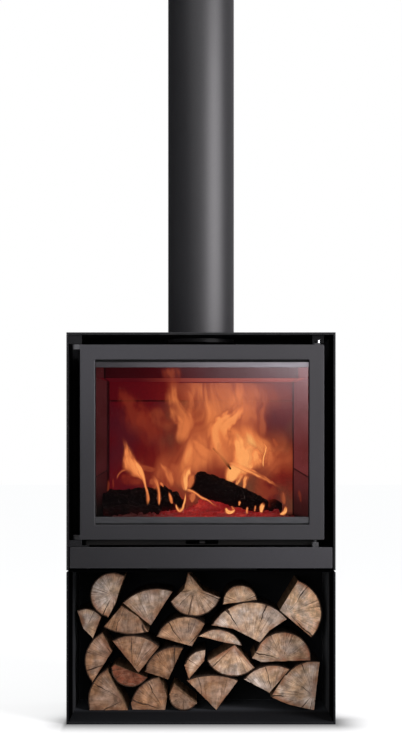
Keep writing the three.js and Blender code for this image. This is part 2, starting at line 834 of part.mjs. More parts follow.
// The lowest and highest points where an upright line crosses an outline.
function crossing(outline, x) {
  const heights = [];
  outline.forEach((point, index) => {
    const next = outline[(index + 1) % outline.length];
    const [low, high] = point.x < next.x ? [point, next] : [next, point];
    if (x < low.x || x > high.x) return;
    const share = high.x > low.x ? (x - low.x) / (high.x - low.x) : 0;
    heights.push(low.y + share * (high.y - low.y));
  });
  return [Math.min(...heights), Math.max(...heights)];
}

// How far an outline is clear above another one, straight down.
function dropOnto(outline, below) {
  const xs = outline.map((point) => point.x);
  const belowXs = below.map((point) => point.x);
  const x0 = Math.max(Math.min(...xs), Math.min(...belowXs));
  const x1 = Math.min(Math.max(...xs), Math.max(...belowXs));
  if (x1 <= x0) return Infinity;
  const tests = [x0, x1, ...xs, ...belowXs].filter((x) => x >= x0 && x <= x1);
  return Math.min(...tests.map((x) => crossing(outline, x)[0] - crossing(below, x)[1]));
}

// Each log is let down until it rests on the base's floor or on a log that is already there.
function buildLogs() {
  const faceY = back - sheet - logBackGap - logLength;
  const stacked = [];
  logs.forEach((log, index) => {
    const outline = logOutline(log);
    const bottom = Math.min(...outline.map((point) => point.y));
    const drops = stacked.map((below) => dropOnto(outline, below));
    const drop = Math.min(bottom - baseFloorThickness, ...drops) - logRestGap;
    outline.forEach((point) => { point.y -= drop; });
    stacked.push(outline);

    const logFront = faceY + logStagger * Math.sin(logStaggerTurn * index);
    const name = `log_${String(index + 1).padStart(2, '0')}`;
    add(name, drawnBack(new THREE.Shape(outline), logFront, logFront + logLength), finishes.wood);
  });
}

buildBase();
buildCasing();
buildFirebox();
buildLining();
buildGrate();
buildDrawer();
buildAirSlide();
buildDoor();
buildHinges();
buildLatch();
buildFlue();
buildLogs();

export default stove;
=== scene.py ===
"""Looks of a free-standing wood stove on a log-store base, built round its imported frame.

Blender works in metres in the frame's own axes: the front faces -Y, +X is to the right when
looking at the door, and the floor is at z = 0. Places in the finishes and the studio are metres.
Sizes in the sub-assemblies are millimetres, and MM turns them into metres. Every piece rides on
one of the frame's bodies.
"""

import json
import logging
import math
import random
from dataclasses import dataclass, field
from enum import Enum
from typing import Callable, Iterable, Optional, Sequence, Union

import bmesh
import bpy
import numpy as np
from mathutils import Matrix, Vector, noise

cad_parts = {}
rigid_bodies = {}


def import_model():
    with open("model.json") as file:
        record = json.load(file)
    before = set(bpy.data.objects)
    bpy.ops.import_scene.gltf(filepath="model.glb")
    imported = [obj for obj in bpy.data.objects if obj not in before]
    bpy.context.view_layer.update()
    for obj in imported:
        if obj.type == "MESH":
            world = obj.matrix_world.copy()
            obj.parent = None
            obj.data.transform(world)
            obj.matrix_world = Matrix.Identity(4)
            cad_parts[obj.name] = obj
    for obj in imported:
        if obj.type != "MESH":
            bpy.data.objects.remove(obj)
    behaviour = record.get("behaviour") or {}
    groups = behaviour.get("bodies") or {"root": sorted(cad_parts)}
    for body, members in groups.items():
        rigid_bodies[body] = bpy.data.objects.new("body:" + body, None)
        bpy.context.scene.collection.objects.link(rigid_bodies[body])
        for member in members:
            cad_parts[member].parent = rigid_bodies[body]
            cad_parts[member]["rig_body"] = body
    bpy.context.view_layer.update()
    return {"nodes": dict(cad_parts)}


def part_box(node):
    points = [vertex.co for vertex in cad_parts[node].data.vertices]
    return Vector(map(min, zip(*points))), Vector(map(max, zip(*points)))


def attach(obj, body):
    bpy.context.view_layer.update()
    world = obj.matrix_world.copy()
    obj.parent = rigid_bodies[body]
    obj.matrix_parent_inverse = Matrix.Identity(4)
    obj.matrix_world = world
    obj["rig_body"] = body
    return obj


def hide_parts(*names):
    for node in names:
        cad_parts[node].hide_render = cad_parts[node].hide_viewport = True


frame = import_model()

MM = 0.001
TURN = 2.0 * math.pi
LOG = logging.getLogger("stove")

Colour = tuple[float, float, float]
Point = tuple[float, float, float]
Pair = tuple[float, float]
Stops = list[tuple[float, Colour]]
Node, Socket = bpy.types.Node, bpy.types.NodeSocket
Object, Material = bpy.types.Object, bpy.types.Material


class Body(str, Enum):
    """The bodies of the frame, which move against each other."""

    ROOT = "root"
    DOOR = "door"
    LATCH = "latch"
    DRAWER = "drawer"
    AIR = "air_control"


class Slot(str, Enum):
    """The record's material slots."""

    CASING = "casing_paint"
    FRONT = "front_paint"
    FLUE = "flue_paint"
    FIREBOX = "firebox_steel"
    HINGE = "hinge_steel"
    BRIGHT = "bright_steel"
    STRIP = "glass_strip"
    GLASS = "door_glass"
    ROPE = "rope_seal"
    BRICK = "firebrick"
    IRON = "cast_iron"
    WOOD = "firewood"


# ---------------------------------------------------------------------------
# Node wiring
# ---------------------------------------------------------------------------


def arithmetic(operation: str, swapped: bool = False) -> Callable:
    """A method of Value that adds one Math node; swapped is for a number at the left."""

    def method(self: "Value", other: Union["Value", float, None] = None) -> "Value":
        """Adds the node; the other value is its second input, or its first one when swapped."""
        return self.graph.math(operation, *((other, self) if swapped else (self, other)))

    return method


class Value:
    """The value of a node's output; Python's arithmetic on it adds Math nodes."""

    def __init__(self, graph: "Graph", socket: Socket) -> None:
        """Holds an output socket of the graph."""
        self.graph, self.socket = graph, socket

    __add__, __radd__ = arithmetic("ADD"), arithmetic("ADD", True)
    __sub__, __rsub__ = arithmetic("SUBTRACT"), arithmetic("SUBTRACT", True)
    __mul__, __rmul__ = arithmetic("MULTIPLY"), arithmetic("MULTIPLY", True)
    __truediv__, __rtruediv__ = arithmetic("DIVIDE"), arithmetic("DIVIDE", True)
    __gt__, __lt__ = arithmetic("GREATER_THAN"), arithmetic("LESS_THAN")
    __pow__, __abs__ = arithmetic("POWER"), arithmetic("ABSOLUTE")

    def clamped(self) -> "Value":
        """Holds the result of the last Math node between 0 and 1."""
        self.socket.node.use_clamp = True
        return self


class Graph:
    """Adds and links the nodes of one shader or geometry tree."""

    def __init__(self, tree: bpy.types.NodeTree) -> None:
        """Works on the given tree.

        Args:
            tree: The node tree that the nodes go into.
        """
        self.tree = tree

    def add(self, kind: str, inputs: Optional[dict] = None, **settings) -> Node:
        """Adds a node.

        Args:
            kind: The node's type name.
            inputs: What each input gets: a value, a socket, a node for its first output, or a
                plain number, tuple or setting.
            **settings: The node's own properties.

        Returns:
            The new node.
        """
        node = self.tree.nodes.new(kind)
        for key, value in settings.items():
            setattr(node, key, value)
        for key, value in (inputs or {}).items():
            self.feed(node.inputs[key], value)
        return node

    def value(self, kind: str, inputs: Optional[dict] = None, output: Union[str, int] = 0,
              **settings) -> Value:
        """Adds a node and gives one of its outputs.

        Args:
            kind: The node's type name.
            inputs: What each input gets, as in add.
            output: The output's name or number.
            **settings: The node's own properties.

        Returns:
            The output's value.
        """
        return Value(self, self.add(kind, inputs, **settings).outputs[output])

    def feed(self, socket: Socket, value) -> None:
        """Links a value, socket or node into an input, or sets the input's own value."""
        if isinstance(value, Value):
            value = value.socket
        elif isinstance(value, Node):
            value = value.outputs[0]
        if isinstance(value, Socket):
            self.tree.links.new(value, socket)
        elif value is not None:
            if socket.type == "RGBA" and len(value) == 3:
                value = (*value, 1.0)
            socket.default_value = value

    def math(self, operation: str, *values) -> Value:
        """One Math node, with its inputs in order."""
        return self.value("ShaderNodeMath", dict(enumerate(values)), operation=operation)

    def largest(self, first, second) -> Value:
        """The larger of two values."""
        return self.math("MAXIMUM", first, second)

    def smallest(self, first, second) -> Value:
        """The smaller of two values."""
        return self.math("MINIMUM", first, second)

    def vector(self, operation: str, *values) -> Value:
        """One Vector Math node, with its inputs in order."""
        return self.value("ShaderNodeVectorMath", dict(enumerate(values)), operation=operation)

    def scaled(self, vector, factor) -> Value:
        """A vector or colour times a number."""
        return self.value("ShaderNodeVectorMath", {0: vector, "Scale": factor}, operation="SCALE")

    def stretched(self, vector, scale) -> Value:
        """A vector or colour with each part multiplied by its own factor."""
        return self.vector("MULTIPLY", vector, scale)

    def length(self, vector) -> Value:
        """A vector's length."""
        return self.value("ShaderNodeVectorMath", {0: vector}, "Value", operation="LENGTH")

    def between(self, value, low: float, high: float, start=0.0, end=1.0) -> Value:
        """Maps low..high smoothly to start..end and holds the ends."""
        keys = {"Value": value, "From Min": low, "From Max": high, "To Min": start, "To Max": end}
        return self.value("ShaderNodeMapRange", keys, interpolation_type="SMOOTHSTEP")

    def mix(self, factor, first, second) -> Value:
        """Mixes two colours by a factor from 0 to 1; the numbers are the node's colour sockets."""
        return self.value("ShaderNodeMix", {0: factor, 6: first, 7: second}, 2, data_type="RGBA")

    def ramp(self, factor, stops: Stops) -> Value:
        """A colour ramp through stops of place and colour."""
        node = self.add("ShaderNodeValToRGB", {0: factor})
        elements = node.color_ramp.elements
        while len(elements) < len(stops):
            elements.new(0.5)
        for element, (place, colour) in zip(elements, stops):
            element.position = place
            element.color = (*colour, 1.0)
        return Value(self, node.outputs[0])

    def noise(self, vector, scale: float, detail: float = 2.0, rough: float = 0.5,
              distort: float = 0.0) -> Value:
        """A noise texture's value.

        Args:
            vector: The coordinates, in metres unless they were stretched.
            scale: How many cells there are in one unit.
            detail: How many finer layers are added.
            rough: How strong those layers are.
            distort: How far the pattern is bent by itself.

        Returns:
            The value, mostly from 0.2 to 0.8.
        """
        return self.value("ShaderNodeTexNoise", {
            "Vector": vector, "Scale": scale, "Detail": detail, "Roughness": rough,
            "Distortion": distort})

    def split(self, vector) -> list[Value]:
        """The X, Y and Z of a vector."""
        node = self.add("ShaderNodeSeparateXYZ", {0: vector})
        return [Value(self, socket) for socket in node.outputs]

    def pack(self, x, y, z=0.0) -> Value:
        """A vector from three numbers or values."""
        return self.value("ShaderNodeCombineXYZ", {0: x, 1: y, 2: z})

    def place(self) -> Value:
        """The Object coordinates."""
        return self.value("ShaderNodeTexCoord", output="Object")

    def attribute(self, name: str, output: str = "Vector") -> Value:
        """An attribute that the mesh carries."""
        return self.value("ShaderNodeAttribute", output=output, attribute_name=name)


class Surface(Graph):
    """The graph of a new material; setting an item feeds an input of its Principled shader."""

    def __init__(self, name: str, *, bare: bool = False) -> None:
        """Makes the material.

        Args:
            name: The material's name.
            bare: Whether it starts without any node.
        """
        self.material = bpy.data.materials.new(name)
        self.material.use_nodes = True
        super().__init__(self.material.node_tree)
        if bare:
            self.tree.nodes.clear()

    def __setitem__(self, name: str, value) -> None:
        """Feeds one input of the Principled shader."""
        self.feed(self.tree.nodes["Principled BSDF"].inputs[name], value)

    def bump(self, height, strength: float, depth_mm: float) -> Value:
        """The normal of a surface with the given height."""
        keys = {"Strength": strength, "Distance": depth_mm * MM, "Height": height}
        return self.value("ShaderNodeBump", keys)

    def no_lamp(self) -> None:
        """Keeps the material's glow out of the list of lamps."""
        self.material.cycles.emission_sampling = "NONE"

    def shine(self, colour, alpha) -> None:
        """Makes the surface a see-through glow without any gloss."""
        self["Emission Color"], self["Emission Strength"], self["Alpha"] = colour, 1.0, alpha
        self["Base Color"], self["Specular IOR Level"] = (0.0, 0.0, 0.0), 0.0
        self.no_lamp()


class EffectGroup:
    """A shader node group with named inputs and outputs that is built once and then reused."""

    built: dict[str, bpy.types.NodeTree] = {}

    def __init__(self, name: str, inputs: dict[str, Optional[float]], outputs: Sequence[str],
                 wire: Callable[[Graph, dict], dict]) -> None:
        """Describes the group.

        Args:
            name: The group's name.
            inputs: Input names with their default values; None is a vector without one.
            outputs: The names of its outputs, which are all numbers.
            wire: Adds the nodes, from the graph and the inputs' values to the outputs' values.
        """
        self.name, self.inputs, self.outputs, self.wire = name, inputs, outputs, wire

    def tree(self) -> bpy.types.NodeTree:
        """The group's node tree, built at its first use."""
        if self.name in EffectGroup.built:
            return EffectGroup.built[self.name]
        tree = bpy.data.node_groups.new(self.name, "ShaderNodeTree")
        for name, value in self.inputs.items():
            kind = "NodeSocketVector" if value is None else "NodeSocketFloat"
            socket = tree.interface.new_socket(name, in_out="INPUT", socket_type=kind)
            if value is not None:
                socket.default_value = value
        for name in self.outputs:
            tree.interface.new_socket(name, in_out="OUTPUT", socket_type="NodeSocketFloat")
        graph = Graph(tree)
        source = graph.add("NodeGroupInput")
        values = {name: Value(graph, source.outputs[name]) for name in self.inputs}
        graph.add("NodeGroupOutput", self.wire(graph, values))
        EffectGroup.built[self.name] = tree
        return tree

    def use(self, graph: Graph, **inputs) -> dict[str, Value]:
        """Places the group in a material.

        Args:
            graph: The material's graph.
            **inputs: Numbers or values by input name.

        Returns:
            The group's outputs by name.
        """
        node = graph.add("ShaderNodeGroup", inputs, node_tree=self.tree())
        return {name: Value(graph, node.outputs[name]) for name in self.outputs}


def wire_surface_grain(graph: Graph, inputs: dict) -> dict:
    """Fine sprayed grain, and slow cloudy differences of a whole sheet."""
    vector = inputs["Vector"]
    fine = graph.noise(vector, 900.0, 2.0, 0.6)
    middle = graph.noise(vector, 130.0, 3.0, 0.55)
    cloud = graph.noise(vector, 3.5, 2.0, 0.5)
    height = fine * inputs["Fine"] + middle * inputs["Coarse"]
    return {"Height": height, "Cloud": cloud, "Speckle": graph.between(fine, 0.35, 0.7)}


def wire_worn_lit_edges(graph: Graph, inputs: dict) -> dict:
    """A mask of outer edges, scuffed and painted lighter as a highlight, from the mesh's edge
    attribute, broken up by noise.
    """
    edge = graph.attribute("edge", "Fac")
    patchy = graph.between(graph.noise(inputs["Vector"], 38.0, 4.0, 0.65), 0.30, 0.65, 0.25, 1.0)
    return {"Mask": graph.smallest(edge * (patchy * inputs["Amount"]), 1.0)}


def wire_settled_dust(graph: Graph, inputs: dict) -> dict:
    """A mask of dust or ash on what faces up."""
    upward = graph.split(graph.value("ShaderNodeNewGeometry", output="Normal"))[2]
    patchy = graph.between(graph.noise(inputs["Vector"], 24.0, 5.0, 0.6), 0.32, 0.68)
    return {"Mask": graph.between(upward, 0.55, 0.98) * (patchy * inputs["Amount"])}


FIRE_MIDDLE = (0.06, -0.01, 0.60)
HEARTH_Z = 0.484
EMBER_X = 0.045


def wire_fire_glow(graph: Graph, inputs: dict) -> dict:
    """How strongly the fire's light is painted on a place in the firebox, flickering in soft
    patches.
    """
    offset = graph.vector("SUBTRACT", inputs["Vector"], FIRE_MIDDLE)
    distance = graph.length(graph.stretched(offset, (1.0, 0.8, 0.85)))
    near = graph.between(distance, 0.08, 0.40, 1.0, 0.0)
    soft = graph.noise(graph.stretched(inputs["Vector"], (1.0, 1.0, 0.45)), 9.0, 3.0, 0.5, 0.6)
    patch = graph.between(soft, 0.25, 0.8, 0.45, 1.1)
    raised = graph.between(graph.split(inputs["Vector"])[2], HEARTH_Z, HEARTH_Z + 0.015)
    return {"Glow": (near * patch).clamped(), "Raised": raised}


def wire_wood_fibre(graph: Graph, inputs: dict) -> dict:
    """Fibres that run along Y, with coarse ridges."""
    along = graph.stretched(inputs["Vector"], (1.0, 0.06, 1.0))
    fine = graph.noise(along, 420.0, 3.0, 0.6)
    ridge = graph.noise(along, 85.0, 3.0, 0.6, 0.3)
    return {"Height": fine * 0.35 + ridge, "Streak": ridge, "Fine": fine}


GRAIN = EffectGroup("surface_grain", {"Vector": None, "Fine": 0.5, "Coarse": 0.5},
                    ("Height", "Cloud", "Speckle"), wire_surface_grain)
WORN_LIT_EDGES = EffectGroup("edge_wear", {"Vector": None, "Amount": 1.0}, ("Mask",), wire_worn_lit_edges)
DUST = EffectGroup("settled_dust", {"Vector": None, "Amount": 1.0}, ("Mask",), wire_settled_dust)
GLOW = EffectGroup("fire_glow", {"Vector": None}, ("Glow", "Raised"), wire_fire_glow)
FIBRE = EffectGroup("wood_fibre", {"Vector": None}, ("Height", "Streak", "Fine"), wire_wood_fibre)


# ---------------------------------------------------------------------------
# Finishes
# ---------------------------------------------------------------------------


class Finish:
    """A finish that makes its material once, at its first use."""

    made: dict[str, Material] = {}
    name: str

    def material(self) -> Material:
        """The finish's material."""
        if self.name not in Finish.made:
            graph = Surface(self.name)
            self.wire(graph)
            Finish.made[self.name] = graph.material
        return Finish.made[self.name]

    def wire(self, graph: Surface) -> None:
        """Adds the finish's nodes; each finish has its own."""
        raise NotImplementedError


@dataclass(frozen=True)
class PaintFinish(Finish):
    """Sprayed stove paint on steel: fine grain, faint clouds, outer edges scuffed and painted
    lighter as a highlight, and a little dust.
    """

    name: str
    colour: Colour
    cloud: Colour
    worn_lit_edge: Colour = (0.11, 0.108, 0.115)
    roughness: float = 0.5
    specular: float = 0.5
    fine: float = 0.5
    coarse: float = 0.25
    grain_mm: float = 0.05
    wear: float = 0.5
    dust: float = 0.1

    def wire(self, graph: Surface) -> None:
        """Adds the paint's nodes."""
        place = graph.place()
        grain = GRAIN.use(graph, Vector=place, Fine=self.fine, Coarse=self.coarse)
        worn_lit_edge = WORN_LIT_EDGES.use(graph, Vector=place, Amount=self.wear)["Mask"]
        dust = DUST.use(graph, Vector=place, Amount=self.dust)["Mask"]
        colour = graph.mix(graph.between(grain["Cloud"], 0.3, 0.7), self.colour, self.cloud)
        colour = graph.mix(grain["Speckle"] * 0.12, colour, self.worn_lit_edge)
        colour = graph.mix(dust, colour, (0.20, 0.19, 0.18))
        # Scuffing and a painted highlight: the outer edges turn to the lighter edge colour.
        colour = graph.mix(worn_lit_edge, colour, self.worn_lit_edge)
        graph["Base Color"] = self.placed(graph, place, colour)
        rough = graph.between(grain["Cloud"], 0.25, 0.75, self.roughness - 0.02,
                              self.roughness + 0.02)
        graph["Roughness"] = (rough + dust * 0.3).clamped()
        graph["Specular IOR Level"] = self.specular
        graph["Normal"] = graph.bump(grain["Height"], 0.5, self.grain_mm)

    def placed(self, graph: Graph, place: Value, colour: Value) -> Value:
        """Changes the colour at certain places; plain paint has none."""
        return colour


@dataclass(frozen=True)
class GradedPaint(PaintFinish):
    """The front's paint with painted shade and sheen: its lightness goes from corner to corner."""

    half_width: float = 0.28
    z_range: Pair = (0.46, 0.91)
    low: Pair = (0.62, 1.55)
    high: Pair = (0.62, 1.55)

    def placed(self, graph: Graph, place: Value, colour: Value) -> Value:
        """Grades the colour as painted shade and sheen; low and high are its factors at the left
        and right.
        """
        x, _, z = graph.split(place)
        low = graph.between(x, -self.half_width, self.half_width, *self.low)
        high = graph.between(x, -self.half_width, self.half_width, *self.high)
        upper = graph.between(z, *self.z_range)
        return graph.scaled(colour, upper * (high - low) + low)


@dataclass(frozen=True)
class DoorPaint(GradedPaint):
    """The door's paint, graded as painted shade and sheen, with a painted highlight on the upper
    hinge arm and painted shade on the lower one.
    """

    low: Pair = (0.85, 1.20)
    high: Pair = (1.85, 1.10)
    arm_x: float = -0.2893
    middle_z: float = 0.67
    # Painted highlight for the upper hinge arm and painted shade for the lower one.
    bright: Colour = (0.040, 0.040, 0.043)
    shaded_arm: Colour = (0.0015, 0.0015, 0.0017)

    def placed(self, graph: Graph, place: Value, colour: Value) -> Value:
        """Paints the two hinge arms: a painted highlight on the upper one and painted shade on the
        lower one.
        """
        colour = super().placed(graph, place, colour)
        x, _, z = graph.split(place)
        arm = graph.mix(z > self.middle_z, self.shaded_arm, self.bright)
        return graph.mix(x < self.arm_x, colour, arm)


@dataclass(frozen=True)
class StorePaint(PaintFinish):
    """The base's paint, with painted shade at the front of its inner walls, painted light deeper
    in, its floor painted paler and more so deeper in, and its outer faces painted lighter than its
    inner ones.
    """

    inner_x: float = 0.3155
    lit_y: Pair = (-0.085, -0.035)
    # Painted shade at the front of the inner walls, painted light deeper in and farthest in.
    inside: Colour = (0.0011, 0.0011, 0.0013)
    deeper: Colour = (0.0400, 0.0410, 0.0440)
    far_y: Pair = (-0.010, 0.060)
    farthest: Colour = (0.0900, 0.0920, 0.0980)
    floor_z: Pair = (0.0055, 0.0065)
    outer: float = 1.0
    outer_x: float = 0.3199
    outer_y: float = 0.2249

    def placed(self, graph: Graph, place: Value, colour: Value) -> Value:
        """Paints light and shade on the inner walls, the floor and the outer faces."""
        x, y, z = graph.split(place)
        side = abs(x)
        wall = graph.mix(graph.between(y, *self.lit_y), self.inside, self.deeper)
        wall = graph.mix(graph.between(y, *self.far_y), wall, self.farthest)
        low, high = self.floor_z
        top = (z > low) * (z < high)
        # Painted light: the floor's top is lighter, and more so deeper in, where the shade is.
        floor_painted_light = graph.between(y, -0.06, 0.06, 1.7, 8.0)
        colour = graph.mix(top, colour, graph.scaled(colour, floor_painted_light))
        inner = (side < self.inner_x) * (side > self.inner_x - 0.001)
        # Painted light: the outer faces are lighter than the inner ones by the factor outer.
        outside = graph.largest(side > self.outer_x, y > self.outer_y)
        colour = graph.mix(outside, colour, graph.scaled(colour, self.outer))
        return graph.mix(inner, colour, wall)


@dataclass(frozen=True)
class SteelFinish(Finish):
    """Bare steel, drawn or brushed along one axis, with a tint of heat or smoke."""

    name: str
    colour: Colour
    shade: Colour
    stretch: Point
    roughness: float = 0.3
    smoke: float = 0.0
    ends: Pair = (1.0, 1.0)
    half_length: float = 0.26

    def wire(self, graph: Surface) -> None:
        """Adds the steel's nodes; ends are the factors of its colour at its left and right end, a
        painted light gradient.
        """
        place = graph.place()
        brush = graph.noise(graph.stretched(place, self.stretch), 700.0, 3.0, 0.6)
        cloud = graph.noise(place, 14.0, 3.0, 0.5)
        colour = graph.mix(graph.between(brush, 0.3, 0.7), self.shade, self.colour)
        # Painted light: the colour grades from its left end to its right end.
        if self.ends != (1.0, 1.0):
            x, half = graph.split(place)[0], self.half_length
            colour = graph.scaled(colour, graph.between(x, -half, half, *self.ends))
        smoke = graph.between(cloud, 0.3, 0.75) * self.smoke
        graph["Base Color"] = graph.mix(smoke, colour, (0.1, 0.085, 0.08))
        graph["Metallic"] = 1.0
        rough = graph.between(brush, 0.2, 0.8, self.roughness - 0.06, self.roughness + 0.1)
        graph["Roughness"] = rough
        graph["Normal"] = graph.bump(brush, 0.25, 0.03)


@dataclass(frozen=True)
class GlassFinish(Finish):
    """Ceramic glass with a trace of smoke in its corners."""

    name: str = "ceramic_glass"
    middle: Pair = (0.0025, 0.6710)
    clear_half: Pair = (0.2532, 0.1905)

    def wire(self, graph: Surface) -> None:
        """Adds the glass's nodes."""
        place = graph.place()
        x, _, z = graph.split(place)
        across = abs(x - self.middle[0])
        upward = abs(z - self.middle[1])
        edge = graph.largest(graph.between(across, 0.19, 0.262), graph.between(upward, 0.13, 0.205))
        rim = graph.largest(across > self.clear_half[0], upward > self.clear_half[1])
        patch = graph.between(graph.noise(place, 11.0, 4.0, 0.55, 0.4), 0.4, 0.75)
        film = edge * patch
        clear = graph.mix(film, (0.97, 0.95, 0.93), (0.70, 0.62, 0.56))
        graph["Base Color"] = graph.mix(rim, clear, (0.0, 0.0, 0.0))
        graph["Roughness"] = (film * 0.04 + rim * 0.9).clamped()
        graph["Transmission Weight"] = 1.0
        graph["IOR"] = 1.47


@dataclass(frozen=True)
class RopeFinish(Finish):
    """Woven glass-fibre rope, greyed by soot."""

    name: str = "glass_fibre_rope"

    def wire(self, graph: Surface) -> None:
        """Adds the rope's nodes."""
        place = graph.place()
        yarn = graph.noise(place, 900.0, 2.0, 0.6)
        soot = graph.between(graph.noise(place, 28.0, 4.0, 0.6), 0.35, 0.7)
        clean = graph.mix(graph.between(yarn, 0.3, 0.7), (0.20, 0.19, 0.17), (0.36, 0.34, 0.30))
        graph["Base Color"] = graph.mix(soot, clean, (0.07, 0.065, 0.06))
        graph["Roughness"] = 0.95
        graph["Sheen Weight"] = 0.2
        graph["Normal"] = graph.bump(yarn, 0.8, 0.4)


@dataclass(frozen=True)
class BrickFinish(Finish):
    """Pressed firebrick, darkened by soot, with the red light of the fire in front of it painted in
    as emission.
    """

    name: str
    dark: Colour = (0.0030, 0.0022, 0.0022)
    light: Colour = (0.0100, 0.0060, 0.0050)
    # Emission colours of the painted firelight: by nearness to the fire, across the side cheeks and
    # on the ceilings.
    dim: Colour = (0.070, 0.0012, 0.0040)
    red: Colour = (0.115, 0.0030, 0.0060)
    warm: Colour = (0.300, 0.0420, 0.0200)
    left_cheek: Colour = (0.050, 0.0075, 0.0090)
    right_cheek: Colour = (0.150, 0.0280, 0.0300)
    left_ceiling: Colour = (0.070, 0.0020, 0.0050)
    right_ceiling: Colour = (0.300, 0.0450, 0.0300)
    cheek_x: float = 0.24
    joint_z: float = 0.778
    corner_x: float = 0.2337
    ledge_z: float = 0.5994
    ledge_slope: float = 0.063

    def wire(self, graph: Surface) -> None:
        """Adds the brick's nodes."""
        place = graph.place()
        grain = graph.noise(place, 240.0, 4.0, 0.65)
        cloud = graph.noise(place, 16.0, 4.0, 0.6)
        pits = graph.between(graph.noise(place, 95.0, 2.0, 0.5), 0.62, 0.74)
        x, y, z = graph.split(place)
        outward = abs(x) - self.corner_x
        side = outward > 0.0004
        joint = abs(z - self.joint_z) + side
        below = y * self.ledge_slope + self.ledge_z - z
        ledge = abs(below) + (1.0 - side)
        line = graph.smallest(graph.smallest(joint, ledge), abs(outward))
        gap = graph.between(line, 0.0008, 0.0030, 0.18, 1.0)
        # The painted firelight is weaker on the side walls below the ledge line.
        gap = gap * (1.0 - side * (below > 0.0) * 0.35)
        colour = graph.mix(graph.between(cloud, 0.3, 0.7), self.dark, self.light)
        colour = graph.mix(grain * 0.3, colour, self.dark)
        graph["Base Color"] = colour
        graph["Roughness"] = 0.92
        graph["Specular IOR Level"] = 0.1
        # Painted firelight as emission: graded by nearness to the fire, lighter on the right cheek,
        # darker at the cheeks' foot as painted shade, and its own colours on faces that face down.
        glow = GLOW.use(graph, Vector=place)
        shown = graph.ramp(glow["Glow"], [(0.0, self.dim), (0.4, self.red), (1.0, self.warm)])
        half = self.cheek_x
        cheek = graph.ramp(graph.between(x, -half, half),
                           [(0.0, self.left_cheek), (1.0, self.right_cheek)])
        foot = graph.between(x, -half, half, 0.0, 0.32)
        foot = graph.between(z, 0.505, 0.585) * (1.0 - foot) + foot
        shown = graph.mix(side, shown, graph.scaled(cheek, foot))
        brown = graph.between(graph.noise(place, 12.0, 2.0, 0.5), 0.35, 0.65, 0.0, 0.75)
        brown = brown * (z < self.joint_z) * (1.0 - side)
        shown = graph.mix(brown, shown, graph.stretched(shown, (0.62, 2.6, 2.2)))
        facing = graph.split(graph.value("ShaderNodeNewGeometry", output="Normal"))[2]
        ceiling = graph.mix(graph.between(x, -0.17, 0.02), self.left_ceiling, self.right_ceiling)
        shown = graph.mix(facing < -0.5, shown, ceiling)
        speck = graph.between(grain, 0.3, 0.7, 0.86, 1.1) * (gap * glow["Raised"])
        graph["Emission Color"] = graph.scaled(shown, speck)
        graph["Emission Strength"] = 1.0
        graph["Normal"] = graph.bump(grain - pits * 1.5, 0.5, 0.4)


@dataclass(frozen=True)
class IronFinish(Finish):
    """Rough sand-cast iron."""

    name: str = "sand_cast_iron"

    def wire(self, graph: Surface) -> None:
        """Adds the cast iron's nodes."""
        place = graph.place()
        sand = graph.noise(place, 420.0, 3.0, 0.65)
        cloud = graph.between(graph.noise(place, 18.0, 3.0, 0.6), 0.35, 0.7)
        ash = DUST.use(graph, Vector=place, Amount=0.6)["Mask"]
        colour = graph.mix(cloud, (0.022, 0.021, 0.020), (0.050, 0.038, 0.030))
        graph["Base Color"] = graph.mix(ash, colour, (0.19, 0.17, 0.16))
        graph["Roughness"] = graph.between(sand, 0.3, 0.7, 0.6, 0.85)
        graph["Metallic"] = graph.between(cloud, 0.0, 1.0, 0.6, 0.2)
        graph["Normal"] = graph.bump(sand, 0.8, 0.35)


